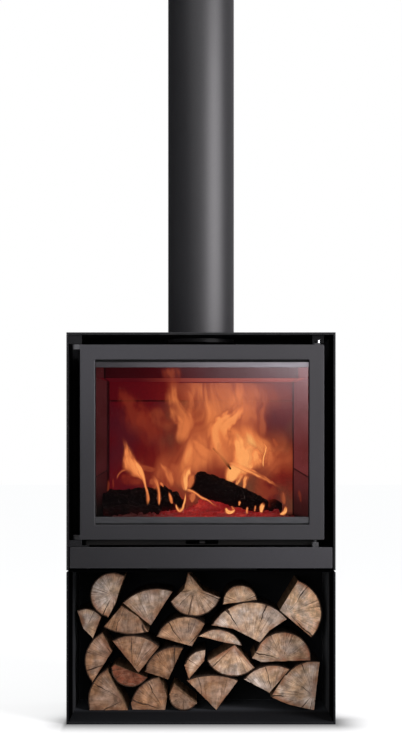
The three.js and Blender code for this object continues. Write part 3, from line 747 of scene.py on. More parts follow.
@dataclass(frozen=True)
class EndGrainFinish(Finish):
    """Sawn ends of split logs: rings, drying cracks that fan out from the pith, and a bark rim.

    The mesh carries two attributes: pith, the offset from the ring centre and how far inside
    the outline a point is, and tint, the bark rim's mask, the log's tone and how red it is.
    """

    name: str = "sawn_end_grain"
    pale: Colour = (0.60, 0.475, 0.390)
    deep: Colour = (0.36, 0.255, 0.185)
    warm: Colour = (1.07, 0.84, 0.69)
    red: Colour = (0.34, 0.105, 0.055)
    brown: Colour = (0.20, 0.100, 0.055)
    crack: Colour = (0.030, 0.016, 0.010)
    ring_mm: float = 3.4
    crack_count: float = 9.0

    def wire(self, graph: Surface) -> None:
        """Adds the end grain's nodes."""
        place = graph.place()
        pith = graph.attribute("pith")
        rim, tone, red = graph.split(graph.attribute("tint"))
        across, upward, inside = graph.split(pith)
        radius = graph.length(graph.pack(across, upward))
        angle = graph.math("ARCTAN2", upward, across)
        edge = graph.between(inside, 0.001, 0.017, 1.0, 0.0)

        warp = graph.noise(place, 26.0, 3.0, 0.5)
        count = radius * (1.0 / (self.ring_mm * MM)) + warp * 2.4
        ring = graph.between(graph.math("SINE", count * TURN), -0.2, 1.0)

        rays = graph.noise(graph.pack(angle * 17.0, radius * 12.0, tone), 1.0, 4.0, 0.65)
        cloud = graph.noise(place, 34.0, 5.0, 0.65)
        colour = graph.mix(graph.between(cloud, 0.34, 0.66), self.pale, self.deep)
        colour = graph.mix(ring * 0.22, colour, self.deep)
        colour = graph.mix(graph.between(rays, 0.38, 0.62, 0.0, 0.95), colour, self.deep)
        mottle = graph.between(graph.noise(place, 62.0, 4.0, 0.6), 0.32, 0.68, 0.58, 1.30)
        colour = graph.scaled(colour, mottle)
        hue = graph.between(graph.noise(place, 19.0, 3.0, 0.55, 0.4), 0.34, 0.66)
        hue = graph.mix(hue, (0.93, 1.00, 1.10), (1.08, 0.93, 0.74))
        colour = graph.stretched(colour, hue)
        colour = graph.mix(graph.between(tone, 0.45, 0.95, 1.0, 0.0), colour,
                           graph.stretched(colour, self.warm))
        patchy = graph.between(graph.noise(place, 17.0, 3.0, 0.6, 0.5), 0.38, 0.64)
        # Painted shade: browner towards the outline, along the edges where the logs meet.
        colour = graph.mix(edge * (patchy * 0.85 + 0.15), colour, self.brown)
        rosy = patchy * (red * 1.1 + 0.1)
        rosy = rosy * graph.between(inside, 0.004, 0.03, 1.0, 0.35)
        rosy = (rosy + (red > 0.6) * 0.85).clamped()
        colour = graph.mix(rosy, colour, graph.scaled(self.red, mottle))
        colour = graph.scaled(colour, tone)

        bend = graph.noise(graph.pack(radius * 26.0, tone, angle), 1.0, 3.0, 0.55)
        turn = angle * (self.crack_count / TURN) + bend * 0.32 + tone * 37.0
        gap = graph.value("ShaderNodeTexVoronoi", {"W": turn, "Scale": 1.0}, output="Distance",
                          voronoi_dimensions="1D", feature="DISTANCE_TO_EDGE")
        reach = graph.noise(graph.pack(turn, radius * 9.0), 1.5, 2.0, 0.5)
        width = graph.between(reach, 0.42, 0.64) * 0.042
        cracked = graph.between(gap - width, -0.006, 0.006, 1.0, 0.0)
        cracked = cracked * graph.between(radius, 0.004, 0.016)
        spokes = graph.stretched(graph.pack(angle, radius, tone), (46.0, 9.0, 1.0))
        fine = graph.noise(spokes, 1.0, 3.0, 0.6)
        hair = graph.between(fine, 0.59, 0.68, 0.0, 0.60)
        dark = graph.largest(cracked * 0.94, hair)
        colour = graph.mix(dark, colour, self.crack)
        saw = graph.noise(graph.stretched(place, (0.25, 1.0, 1.6)), 310.0, 2.0, 0.6)
        colour = graph.mix(graph.between(saw, 0.50, 0.8, 0.0, 0.30), colour, self.deep)
        colour = graph.mix(graph.between(rim, 0.35, 0.65), colour, (0.035, 0.020, 0.013))
        graph["Base Color"] = colour
        graph["Roughness"] = 0.85
        graph["Specular IOR Level"] = 0.2
        graph["Normal"] = graph.bump(saw * 0.3 - dark, 0.8, 1.2)


@dataclass(frozen=True)
class LogSideFinish(Finish):
    """The long sides of a log: split wood, or bark."""

    name: str
    dark: Colour
    light: Colour
    depth_mm: float

    def wire(self, graph: Surface) -> None:
        """Adds the nodes of the log's sides."""
        place = graph.place()
        fibre = FIBRE.use(graph, Vector=place)
        lichen = graph.between(graph.noise(place, 34.0, 4.0, 0.65), 0.55, 0.72, 0.0, 0.5)
        colour = graph.mix(graph.between(fibre["Streak"], 0.3, 0.7), self.dark, self.light)
        colour = graph.mix(fibre["Fine"] * 0.35, colour, self.dark)
        graph["Base Color"] = graph.mix(lichen, colour, self.dark)
        graph["Roughness"] = 0.9
        graph["Specular IOR Level"] = 0.15
        graph["Normal"] = graph.bump(fibre["Height"], 0.9, self.depth_mm)


CHAR_GLOW: Stops = [
    (0.0, (0.003, 0.0003, 0.0004)), (0.4, (0.13, 0.005, 0.005)), (1.0, (0.50, 0.040, 0.015))]
EMBER_GLOW: Stops = [
    (0.0, (0.012, 0.0006, 0.0008)), (0.45, (0.17, 0.005, 0.006)),
    (0.85, (0.33, 0.014, 0.014)), (1.0, (0.60, 0.060, 0.030))]


@dataclass(frozen=True)
class CharFinish(Finish):
    """Charred wood: black blocks with ashy edges, glowing where it nears the embers."""

    name: str
    glow_top: float
    glow: float
    body: Colour = (0.0028, 0.0017, 0.0015)
    sheen: Colour = (0.016, 0.0085, 0.0065)

    def wire(self, graph: Surface) -> None:
        """Adds the char's nodes."""
        place = graph.place()
        cells = graph.value("ShaderNodeTexVoronoi",
                            {"Vector": graph.stretched(place, (0.6, 1.0, 1.0)), "Scale": 75.0},
                            output="Distance", feature="DISTANCE_TO_EDGE")
        crack = graph.between(cells, 0.0, 0.07, 1.0, 0.0)
        ash = graph.between(graph.noise(place, 60.0, 4.0, 0.65), 0.5, 0.75, 0.0, 0.7)
        graph["Base Color"] = graph.mix(ash, self.body, self.sheen)
        graph["Roughness"] = 0.8
        graph["Specular IOR Level"] = 0.12
        x, _, z = graph.split(place)
        low = graph.between(z, 0.490, self.glow_top, 1.0, 0.0)
        patch = graph.between(graph.noise(place, 22.0, 3.0, 0.6), 0.42, 0.68)
        heat = graph.largest(crack * 0.8, patch * 0.7)
        heat = heat * low * graph.between(patch, 0.0, 0.7, 0.15, 1.0)
        heat = heat * graph.between(abs(x - EMBER_X), 0.08, 0.2, 1.0, 0.12)
        graph["Emission Color"] = graph.ramp(heat, CHAR_GLOW)
        graph["Emission Strength"] = self.glow
        graph["Normal"] = graph.bump(crack * -1.0, 0.9, 1.5)


@dataclass(frozen=True)
class EmberFinish(Finish):
    """Glowing embers under a veil of ash."""

    name: str = "embers"

    def wire(self, graph: Surface) -> None:
        """Adds the ember's nodes."""
        place = graph.place()
        patch = graph.noise(place, 30.0, 4.0, 0.6, 0.3)
        grain = graph.noise(place, 190.0, 3.0, 0.65)
        ash = graph.between(grain, 0.45, 0.7, 0.0, 0.5)
        graph["Base Color"] = graph.mix(ash, (0.012, 0.008, 0.007), (0.1, 0.07, 0.06))
        graph["Roughness"] = 0.9
        x, _, _ = graph.split(place)
        middle = graph.between(abs(x - EMBER_X), 0.07, 0.2, 1.0, 0.08)
        heat = graph.between(patch, 0.3, 0.7, 0.25, 0.8) + grain * 0.25
        graph["Emission Color"] = graph.ramp(heat * middle, EMBER_GLOW)
        graph["Emission Strength"] = 1.0
        graph["Normal"] = graph.bump(grain, 0.8, 1.0)


FIRE_COLOURS: Stops = [
    (0.0, (0.10, 0.0035, 0.0040)), (0.25, (0.27, 0.030, 0.013)), (0.5, (0.52, 0.115, 0.042)),
    (0.75, (0.98, 0.285, 0.086)), (1.0, (1.20, 0.56, 0.18))]


@dataclass(frozen=True)
class FlameFinish(Finish):
    """Flame sheets, whose UV map runs across and up each flame.

    The mesh carries one attribute, burn: its heat, its cover and its seed.
    """

    name: str = "flame"

    def wire(self, graph: Surface) -> None:
        """Adds the flame's nodes."""
        uv = graph.value("ShaderNodeUVMap", uv_map="UVMap")
        u, v, _ = graph.split(uv)
        heat, cover, seed = graph.split(graph.attribute("burn"))
        place = graph.place()
        shifted = graph.vector("ADD", place, graph.pack(seed, seed * 1.7, 0.0))
        thread = graph.pack(u * 3.6, v * 1.4, seed * 3.1)
        streak = graph.noise(thread, 1.0, 2.0, 0.5, 0.2)
        lick = graph.noise(graph.stretched(shifted, (1.0, 1.0, 0.55)), 34.0, 2.0, 0.5, 0.2)
        bend = graph.between(lick, 0.3, 0.7, -0.26, 0.26)
        offset = u * 2.0 - 1.0
        centred = offset + bend * graph.between(v, 0.05, 0.6)
        core = graph.between(abs(centred), 0.0, 0.95, 1.0, 0.0)
        rim = graph.between(abs(offset), 0.55, 1.0, 1.0, 0.0)
        tip = graph.between(v, 0.6, 1.0, 1.0, 0.0)
        shape = core * rim * tip
        ragged = graph.between(streak, 0.30, 0.70, 0.60, 1.20)
        density = (shape * ragged).clamped()
        solid = graph.between(density, 0.0, 0.95)
        hot = solid * 0.55 + 0.4
        shown = graph.ramp((hot * heat).clamped(), FIRE_COLOURS)
        graph.shine(shown, (solid * cover).clamped())


@dataclass(frozen=True)
class BlazeFinish(Finish):
    """The soft body of the fire on broad sheets: rising streaks inside a few round puffs.

    Each puff is its middle x and z and its half width and half height, in metres, and its heat.
    """

    name: str
    seed: float
    cover: float
    puffs: tuple[tuple[float, ...], ...]

    def wire(self, graph: Surface) -> None:
        """Adds the blaze's nodes."""
        place = graph.vector("ADD", graph.place(), (self.seed, 0.0, 0.0))
        drift = graph.noise(graph.stretched(place, (1.0, 0.0, 0.6)), 8.0, 1.0, 0.5)
        sway = graph.between(drift, 0.25, 0.75, -0.035, 0.035)
        x, _, z = graph.split(graph.place())
        x = x + sway
        total = 0.0
        for middle, height, wide, tall, heat in self.puffs:
            reach = graph.length(graph.pack((x - middle) / wide, (z - height) / tall))
            total = graph.math("EXPONENT", reach ** 2.0 * -1.6) * heat + total
        bent = graph.vector("ADD", place, graph.pack(sway, 0.0, 0.0))
        streak = graph.noise(graph.stretched(bent, (1.0, 0.0, 0.22)), 42.0, 3.0, 0.5, 0.25)
        veil = graph.noise(graph.stretched(bent, (1.0, 0.0, 0.45)), 12.0, 2.0, 0.5, 0.2)
        rising = graph.between(streak, 0.28, 0.72, 0.2, 0.5)
        rising = rising + graph.between(veil, 0.3, 0.7, 0.15, 0.65)
        density = (total * rising).clamped()
        shown = graph.ramp(((density + 0.12) * 0.92).clamped(), FIRE_COLOURS)
        graph.shine(shown, graph.between(density, 0.0, 0.6) * self.cover)


# The lighter edge colour and its amount stand for scuffed edges and a painted edge highlight.
CASING_LOOK = {"colour": (0.0066, 0.0068, 0.0072), "cloud": (0.0078, 0.0080, 0.0085),
               "worn_lit_edge": (0.075, 0.075, 0.078), "roughness": 0.78, "specular": 0.10, "wear": 0.9,
               "dust": 0.02}
FRONT_LOOK = {"colour": (0.0078, 0.0076, 0.0090), "cloud": (0.0088, 0.0086, 0.0102),
              "worn_lit_edge": (0.05, 0.05, 0.055), "roughness": 0.42, "specular": 0.5, "wear": 0.3,
              "dust": 0.0}
CASING_PAINT = PaintFinish("matt_casing_paint", **CASING_LOOK)
# The casing sides get painted shade and painted light on their inner faces.
SIDE_PAINT = StorePaint("matt_side_paint", **CASING_LOOK, deeper=(0.0700, 0.0710, 0.0740))
STORE_PAINT = StorePaint("matt_store_paint", (0.0056, 0.0059, 0.0066), (0.0066, 0.0069, 0.0077),
                         worn_lit_edge=(0.030, 0.030, 0.033), roughness=0.85, specular=0.0, wear=0.4,
                         dust=0.0, outer=2.1)
# Painted shade: near-black paint for the latch catch and the hinge brackets, which sit in shade.
SHADED_RECESS_PAINT = PaintFinish("matt_shaded_recess_paint", (0.0030, 0.0031, 0.0033), (0.0040, 0.0041, 0.0043),
                           roughness=0.85, specular=0.05, wear=0.0, dust=0.0)
# Near-black: partly ash on the pan, partly painted shade in the gap under the drawer.
PAN_STEEL = PaintFinish("ashy_shaded_pan_steel", (0.0010, 0.0010, 0.0010), (0.0018, 0.0017, 0.0016),
                        worn_lit_edge=(0.006, 0.006, 0.006), roughness=0.8, specular=0.02, wear=0.6,
                        dust=0.0)
# Painted shade: near-black paint for the plate in the gap under the casing and for the flue collar.
SHADED_SEAM_PAINT = PaintFinish("shaded_seam_paint", (0.0004, 0.0004, 0.0005), (0.0006, 0.0006, 0.0007),
                         worn_lit_edge=(0.002, 0.002, 0.002), roughness=0.9, specular=0.0, wear=0.0,
                         dust=0.0)
FRONT_PAINT = GradedPaint("satin_front_paint", **FRONT_LOOK)
DOOR_PAINT = DoorPaint("satin_door_paint", **FRONT_LOOK)
FLUE_PAINT = PaintFinish("satin_flue_paint", (0.0046, 0.0045, 0.0052), (0.0054, 0.0053, 0.0062),
                         roughness=0.43, specular=0.55, coarse=0.08, wear=0.0, dust=0.0)
FIREBOX_STEEL = PaintFinish("heat_blackened_steel", (0.006, 0.0058, 0.0058),
                            (0.010, 0.0088, 0.0082), worn_lit_edge=(0.03, 0.03, 0.03), roughness=0.74,
                            specular=0.15, coarse=0.5, grain_mm=0.12, wear=0.5, dust=0.1)
HINGE_STEEL = PaintFinish("hinge_paint", (0.011, 0.011, 0.012), (0.014, 0.014, 0.015),
                          worn_lit_edge=(0.20, 0.20, 0.21), specular=0.4, wear=1.0, dust=0.0)
BRIGHT_STEEL = SteelFinish("turned_bright_steel", (0.80, 0.80, 0.82), (0.60, 0.60, 0.62),
                           (0.2, 0.2, 1.0), roughness=0.22)
# The upper strip is painted darker at its left end and lighter at its right end, as painted light.
TOP_STRIP = SteelFinish("satin_strip", (0.25, 0.235, 0.255), (0.19, 0.18, 0.195),
                        (0.04, 1.0, 1.0), roughness=0.42, smoke=0.1, ends=(0.30, 1.40))
BOTTOM_STRIP = SteelFinish("smoked_strip", (0.088, 0.090, 0.096), (0.064, 0.066, 0.070),
                           (0.04, 1.0, 1.0), roughness=0.48, smoke=0.2)
GLASS = GlassFinish()
ROPE = RopeFinish()
# The bricks' firelight is painted as emission; the hearth and the baffle get dimmer painted
# firelight.
BACK_BRICK = BrickFinish("pressed_firebrick")
HEARTH_BRICK = BrickFinish("hearth_firebrick", dim=(0.02, 0.0015, 0.0015),
                           red=(0.08, 0.005, 0.004), warm=(0.20, 0.02, 0.01))
BAFFLE_BRICK = BrickFinish("sooty_shaded_baffle_brick", dark=(0.0015, 0.0010, 0.0010),
                           light=(0.005, 0.0030, 0.0028), dim=(0.020, 0.0006, 0.0016),
                           red=(0.064, 0.0025, 0.0050), warm=(0.032, 0.008, 0.008))
CAST_IRON = IronFinish()
END_GRAIN = EndGrainFinish()
# The split sides are dark: partly weathered wood, partly painted shade where the logs hide each
# other.
SPLIT_WOOD = LogSideFinish("split_wood", (0.10, 0.055, 0.030), (0.26, 0.155, 0.09), 0.6)
BARK = LogSideFinish("dark_bark", (0.012, 0.008, 0.006), (0.055, 0.036, 0.026), 1.6)
COLD_CHAR = CharFinish("cold_char", 0.520, 0.35)
HOT_CHAR = CharFinish("hot_char", 0.545, 0.8)
EMBER = EmberFinish()
FLAME = FlameFinish()
REAR_BLAZE = BlazeFinish("rear_blaze", 3.1, 0.85, (
    (0.045, 0.730, 0.105, 0.170, 0.66), (-0.040, 0.790, 0.060, 0.080, 0.40),
    (-0.115, 0.640, 0.110, 0.150, 0.28), (0.165, 0.795, 0.110, 0.080, 0.27)))
MIDDLE_BLAZE = BlazeFinish("middle_blaze", 7.7, 0.78, (
    (0.112, 0.660, 0.075, 0.085, 1.00), (0.010, 0.655, 0.085, 0.075, 0.66),
    (-0.055, 0.600, 0.065, 0.080, 0.60), (-0.145, 0.600, 0.070, 0.065, 0.32),
    (0.190, 0.610, 0.050, 0.070, 0.34)))


# ---------------------------------------------------------------------------
# Mesh helpers
# ---------------------------------------------------------------------------


def new_object(name: str, mesh: bpy.types.Mesh) -> Object:
    """Puts a mesh in the scene as an object at the origin.

    Args:
        name: The object's name.
        mesh: Its mesh, with its place in its vertices.

    Returns:
        The object.
    """
    obj = bpy.data.objects.new(name, mesh)
    bpy.context.scene.collection.objects.link(obj)
    return obj


def mesh_object(name: str, points: Iterable, faces: Iterable, *,
                recalculate: bool = False) -> Object:
    """An object from points in metres and faces of point numbers."""
    mesh = bpy.data.meshes.new(name)
    mesh.from_pydata([tuple(map(float, p)) for p in points], [],
                     [tuple(map(int, f)) for f in faces])
    mesh.update()
    if recalculate:
        edit = bmesh.new()
        edit.from_mesh(mesh)
        bmesh.ops.remove_doubles(edit, verts=edit.verts, dist=1e-6)
        bmesh.ops.recalc_face_normals(edit, faces=edit.faces)
        edit.to_mesh(mesh)
        edit.free()
    return new_object(name, mesh)


def grid_faces(rows: int, columns: int, *, first: int = 0,
               closed: bool = False) -> list[tuple[int, int, int, int]]:
    """The quads between rows of points.

    Args:
        rows: How many rows there are.
        columns: How many points each row has.
        first: The number of the first point.
        closed: Whether the last column joins the first.

    Returns:
        The faces, row by row.
    """
    faces = []
    for start in range(first, first + (rows - 1) * columns, columns):
        for column in range(columns if closed else columns - 1):
            here, other = start + column, start + (column + 1) % columns
            faces.append((here, other, other + columns, here + columns))
    return faces


def mark(obj: Object, name: str, vectors: Sequence) -> None:
    """Gives each vertex of an object a vector as an attribute."""
    attribute = obj.data.attributes.new(name, "FLOAT_VECTOR", "POINT")
    attribute.data.foreach_set("vector", np.array(vectors, np.float32).ravel())


def smooth(obj: Object, degrees: float) -> None:
    """Shades an object smooth except across edges sharper than the angle."""
    obj.data.shade_smooth()
    obj.data.set_sharp_from_angle(angle=math.radians(degrees))


def evaluated_mesh(obj: Object) -> bpy.types.Mesh:
    """The mesh that an object's modifiers make."""
    graph = bpy.context.evaluated_depsgraph_get()
    return bpy.data.meshes.new_from_object(obj.evaluated_get(graph), preserve_all_data_layers=True,
                                           depsgraph=graph)


def applied(obj: Object) -> Object:
    """Turns an object's modifiers into its plain mesh."""
    mesh = evaluated_mesh(obj)
    obj.modifiers.clear()
    obj.data = mesh
    mesh.name = obj.name
    return obj


def finished_edges(obj: Object, width_mm: float, limit: float, smooth_to: float) -> Object:
    """Rounds the sharp edges and keeps the flat faces flat in their shading.

    Args:
        obj: The object, whose mesh has its doubles merged.
        width_mm: The width of the rounding; none where it is 0.
        limit: The angle in degrees past which an edge is rounded.
        smooth_to: The angle in degrees past which an edge stays sharp in the shading.

    Returns:
        The object, with its modifiers applied.
    """
    if width_mm > 0:
        obj.data.materials.clear()
        for _ in range(2):
            obj.data.materials.append(None)
        bevel = obj.modifiers.new("edges", "BEVEL")
        bevel.width, bevel.segments, bevel.material = width_mm * MM, 2, 1
        bevel.limit_method, bevel.angle_limit = "ANGLE", math.radians(limit)
        mesh = applied(obj).data
        rounded = np.ones(len(mesh.vertices), np.float32)
        for face in mesh.polygons:
            if face.material_index == 0:
                rounded[list(face.vertices)] = 0.0
            face.material_index = 0
        mesh.attributes.new("edge", "FLOAT", "POINT").data.foreach_set("value", rounded)
    smooth(obj, smooth_to)
    obj.modifiers.new("flat_faces", "WEIGHTED_NORMAL").keep_sharp = True
    return applied(obj)


def turned(name: str, centre: Pair, section: Sequence[Pair], segments: int) -> Object:
    """A ring or tube turned about an upright axis.

    Args:
        name: The object's name.
        centre: The axis's x and y in millimetres.
        section: The closed section as radius and height in millimetres.
        segments: How many steps there are in a turn.

    Returns:
        The object.
    """
    points, faces = [], []
    count = len(section)
    for step in range(segments):
        angle = TURN * step / segments
        for radius, height in section:
            points.append(((centre[0] + radius * math.cos(angle)) * MM,
                           (centre[1] + radius * math.sin(angle)) * MM, height * MM))
        this, following = step * count, (step + 1) % segments * count
        for index in range(count):
            other = (index + 1) % count
            faces.append((this + index, following + index, following + other, this + other))
    return mesh_object(name, points, faces, recalculate=True)


def publish(obj: Object, body: Body, slot: Slot, *materials: Finish,
            stands_for: Sequence[str] = ()) -> Object:
    """Finishes a piece: its materials, the body it rides on and what it replaces.

    Args:
        obj: The piece, at the origin with its place in its mesh.
        body: The frame body that it moves with.
        slot: The record's material slot; it is not used.
        *materials: Its finishes in slot order; none leaves the materials that it has.
        stands_for: The CAD nodes that it replaces.

    Returns:
        The piece.
    """
    if materials:
        obj.data.materials.clear()
        for finish in materials:
            obj.data.materials.append(finish.material())
    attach(obj, body.value)
    if stands_for:
        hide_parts(*stands_for)
    LOG.info("%-28s %-12s %6d faces", obj.name, body.value, len(obj.data.polygons))
    return obj


@dataclass
class SheetPart:
    """A CAD node that is shown as a finished copy of itself, with rounded edges."""

    node: str
    piece: str
    slot: Slot
    finish: Finish
    edge_mm: float = 0.8
    limit: float = 30.0
    smooth_to: float = 35.0

    def build(self) -> Object:
        """Copies the node's mesh, merges and rounds it, and finishes the piece."""
        source = frame["nodes"][self.node]
        obj = new_object(self.piece, source.data.copy())
        edit = bmesh.new()
        edit.from_mesh(obj.data)
        bmesh.ops.remove_doubles(edit, verts=edit.verts, dist=1e-5)
        bmesh.ops.dissolve_limit(edit, angle_limit=math.radians(0.4), verts=edit.verts,
                                 edges=edit.edges)
        edit.to_mesh(obj.data)
        edit.free()
        finished_edges(obj, self.edge_mm, self.limit, self.smooth_to)
        return publish(obj, Body(source["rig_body"]), self.slot, self.finish,
                       stands_for=[self.node])


# ---------------------------------------------------------------------------
# Geometry Nodes
# ---------------------------------------------------------------------------


class GeometryTree(Graph):
    """A Geometry Nodes tree with named inputs, which ends in Realize Instances and Set Material."""

    def __init__(self, name: str, sizes: dict[str, float], finish: Finish) -> None:
        """Makes the tree with its sockets.

        Args:
            name: The tree's name.
            sizes: The named inputs and their values, in metres, radians or counts.
            finish: The finish of what the tree makes.
        """
        super().__init__(bpy.data.node_groups.new(name, "GeometryNodeTree"))
        interface = self.tree.interface
        for way in ("INPUT", "OUTPUT"):
            interface.new_socket("Geometry", in_out=way, socket_type="NodeSocketGeometry")
        self.identifiers = {}
        for key, value in sizes.items():
            kind = "NodeSocketInt" if isinstance(value, int) else "NodeSocketFloat"
            socket = interface.new_socket(key, in_out="INPUT", socket_type=kind)
            self.identifiers[key] = socket.identifier
        self.sizes, self.finish = sizes, finish
        self.source = self.add("NodeGroupInput")

    def size(self, name: str) -> Value:
        """The value of a named input."""
        return Value(self, self.source.outputs[name])

    def close(self, geometry: Node) -> None:
        """Ends the tree: instances are realised and get the finish's material."""
        plain = self.add("GeometryNodeRealizeInstances", {0: geometry})
        shown = self.add("GeometryNodeSetMaterial",
                         {"Geometry": plain, "Material": self.finish.material()})
        self.add("NodeGroupOutput", {0: shown})

    def make(self, name: str, base: Object) -> Object:
        """Runs the tree on a base object and returns the result as a plain mesh object."""
        modifier = base.modifiers.new("made", "NODES")
        modifier.node_group = self.tree
        for key, value in self.sizes.items():
            modifier[self.identifiers[key]] = value
        mesh = evaluated_mesh(base)
        bpy.data.objects.remove(base)
        mesh.name = name
        return new_object(name, mesh)


def outward_points(places: Sequence[Point]) -> Object:
    """A cloud of points in millimetres for what stands on the back and faces away from it."""
    obj = mesh_object("places", [[c * MM for c in p] for p in places], [])
    mark(obj, "facing", [(0.0, 1.0, 0.0)] * len(places))
    return obj


def screw_tree(radius_mm: float, height_mm: float, finish: Finish) -> GeometryTree:
    """Domed screw heads with a six-sided socket, one on each point.

    Args:
        radius_mm: The head's radius.
        height_mm: How far the head stands proud.
        finish: The head's finish.

    Returns:
        The tree.
    """
    tree = GeometryTree("screw_heads", {"Radius": radius_mm * MM, "Height": height_mm * MM,
                                        "Sides": 20}, finish)
    radius, height = tree.size("Radius"), tree.size("Height")
    head = tree.add("GeometryNodeMeshCone", {
        "Vertices": tree.size("Sides"), "Side Segments": 2, "Radius Top": radius * 0.72,
        "Radius Bottom": radius, "Depth": height})
    socket = tree.add("GeometryNodeMeshCone", {
        "Vertices": 6, "Radius Top": radius * 0.42, "Radius Bottom": radius * 0.36,
        "Depth": height})
    lifted = tree.add("GeometryNodeTransform", {
        "Geometry": socket, "Translation": tree.pack(0.0, 0.0, height * 0.45)})
    cut = tree.add("GeometryNodeMeshBoolean", {"Mesh 1": head, "Mesh 2": lifted},
                   operation="DIFFERENCE")
    facing = tree.value("GeometryNodeInputNamedAttribute", {"Name": "facing"},
                        data_type="FLOAT_VECTOR")
    turn = tree.value("FunctionNodeAlignRotationToVector", {"Vector": facing}, axis="Z")
    tree.close(tree.add("GeometryNodeInstanceOnPoints", {
        "Points": tree.size("Geometry"), "Instance": cut, "Rotation": turn}))
    return tree


def louvre_tree(finish: Finish) -> GeometryTree:
    """Louvre hoods pressed outwards over each vent, closed at their ends and open below.

    Args:
        finish: The hoods' finish.

    Returns:
        The tree.
    """
    tree = GeometryTree("louvre_hoods", {"Length": 0.066, "Reach": 0.0065, "Height": 0.013,
                                         "Sheet": 0.001}, finish)
    grid = tree.add("GeometryNodeMeshGrid", {
        "Size X": 1.0, "Size Y": 1.0, "Vertices X": 19, "Vertices Y": 7})
    across, upward, _ = tree.split(tree.add("GeometryNodeInputPosition"))
    turn = (upward + 0.5) * math.radians(90.0)
    ends = abs(across * 2.0) ** 6.0
    reach = tree.size("Reach") * tree.math("SQRT", 1.0 - ends)
    outward = reach * tree.math("SINE", turn)
    height = tree.size("Height") * (tree.math("COSINE", turn) - 0.5)
    shape = tree.add("GeometryNodeSetPosition", {
        "Geometry": grid, "Position": tree.pack(across * tree.size("Length"), outward, height)})
    outer = tree.add("GeometryNodeExtrudeMesh", {
        "Mesh": shape, "Offset Scale": tree.size("Sheet"), "Individual": False})
    inner = tree.add("GeometryNodeFlipFaces", {"Mesh": shape})
    both = tree.add("GeometryNodeJoinGeometry", {0: outer})
    tree.feed(both.inputs[0], inner)
    hood = tree.add("GeometryNodeMergeByDistance", {"Geometry": both, "Distance": 0.00002})
    tree.close(tree.add("GeometryNodeInstanceOnPoints", {
        "Points": tree.size("Geometry"), "Instance": hood}))
    return tree


def rope_tree(middle_y: float, finish: Finish) -> GeometryTree:
    """A rope of four twisted strands along the base mesh's closed line, pressed flat in Y.

    Args:
        middle_y: The y of the rope's middle, in metres.
        finish: The rope's finish.

    Returns:
        The tree.
    """
    tree = GeometryTree("twisted_rope", {
        "Turns": 84, "Steps": 1150, "Radius": 0.0050, "Groove": 0.0009, "Flatness": 0.66}, finish)
    path = tree.add("GeometryNodeMeshToCurve", {0: tree.size("Geometry")})
    steps = tree.add("GeometryNodeResampleCurve", {"Curve": path, "Count": tree.size("Steps")})
    index = tree.value("GeometryNodeInputIndex")
    tilt = index / tree.size("Steps") * (tree.size("Turns") * TURN)
    twisted = tree.add("GeometryNodeSetCurveTilt", {"Curve": steps, "Tilt": tilt})
    ring = tree.add("GeometryNodeCurvePrimitiveCircle", {
        "Resolution": 16, "Radius": tree.size("Radius")})
    dip = tree.math("COSINE", index * (TURN / 4.0)) * tree.size("Groove")
    inward = tree.scaled(tree.add("GeometryNodeInputPosition"), dip / tree.size("Radius"))
    strand = tree.add("GeometryNodeSetPosition", {"Geometry": ring, "Offset": inward})
    rope = tree.add("GeometryNodeCurveToMesh", {"Curve": twisted, "Profile Curve": strand})
    x, y, z = tree.split(tree.add("GeometryNodeInputPosition"))
    flat = (y - middle_y) * tree.size("Flatness") + middle_y
    tree.close(tree.add("GeometryNodeSetPosition", {
        "Geometry": rope, "Position": tree.pack(x, flat, z)}))
    return tree


def coal_tree(finish: Finish) -> GeometryTree:
    """Lumps of coal scattered over the base mesh, turned and sized at random from a fixed seed.

    Args:
        finish: The lumps' finish.

    Returns:
        The tree.
    """
    tree = GeometryTree("scattered_coals", {
        "Density": 800.0, "Smallest": 0.0030, "Largest": 0.0080, "Seed": 11}, finish)
    seed = tree.size("Seed")
    scatter = tree.add("GeometryNodeDistributePointsOnFaces", {
        "Mesh": tree.size("Geometry"), "Density": tree.size("Density"), "Seed": seed})
    lump = tree.add("GeometryNodeMeshIcoSphere", {"Radius": 1.0, "Subdivisions": 2})
    rough = tree.value("ShaderNodeTexNoise", {"Scale": 1.3, "Detail": 1.0}, "Color")
    push = tree.scaled(tree.vector("SUBTRACT", rough, (0.5, 0.5, 0.5)), 0.9)
    knobbly = tree.add("GeometryNodeSetPosition", {"Geometry": lump, "Offset": push})
    turn = tree.value("FunctionNodeRandomValue", {
        "Min": (0.0, 0.0, 0.0), "Max": (6.28, 6.28, 6.28), "Seed": seed}, data_type="FLOAT_VECTOR")
    size = tree.value("FunctionNodeRandomValue", {
        2: tree.size("Smallest"), 3: tree.size("Largest"), "Seed": seed}, 1, data_type="FLOAT")
    tree.close(tree.add("GeometryNodeInstanceOnPoints", {
        "Points": scatter, "Instance": knobbly, "Rotation": turn, "Scale": size}))
    return tree


# ---------------------------------------------------------------------------
# Studio
# ---------------------------------------------------------------------------


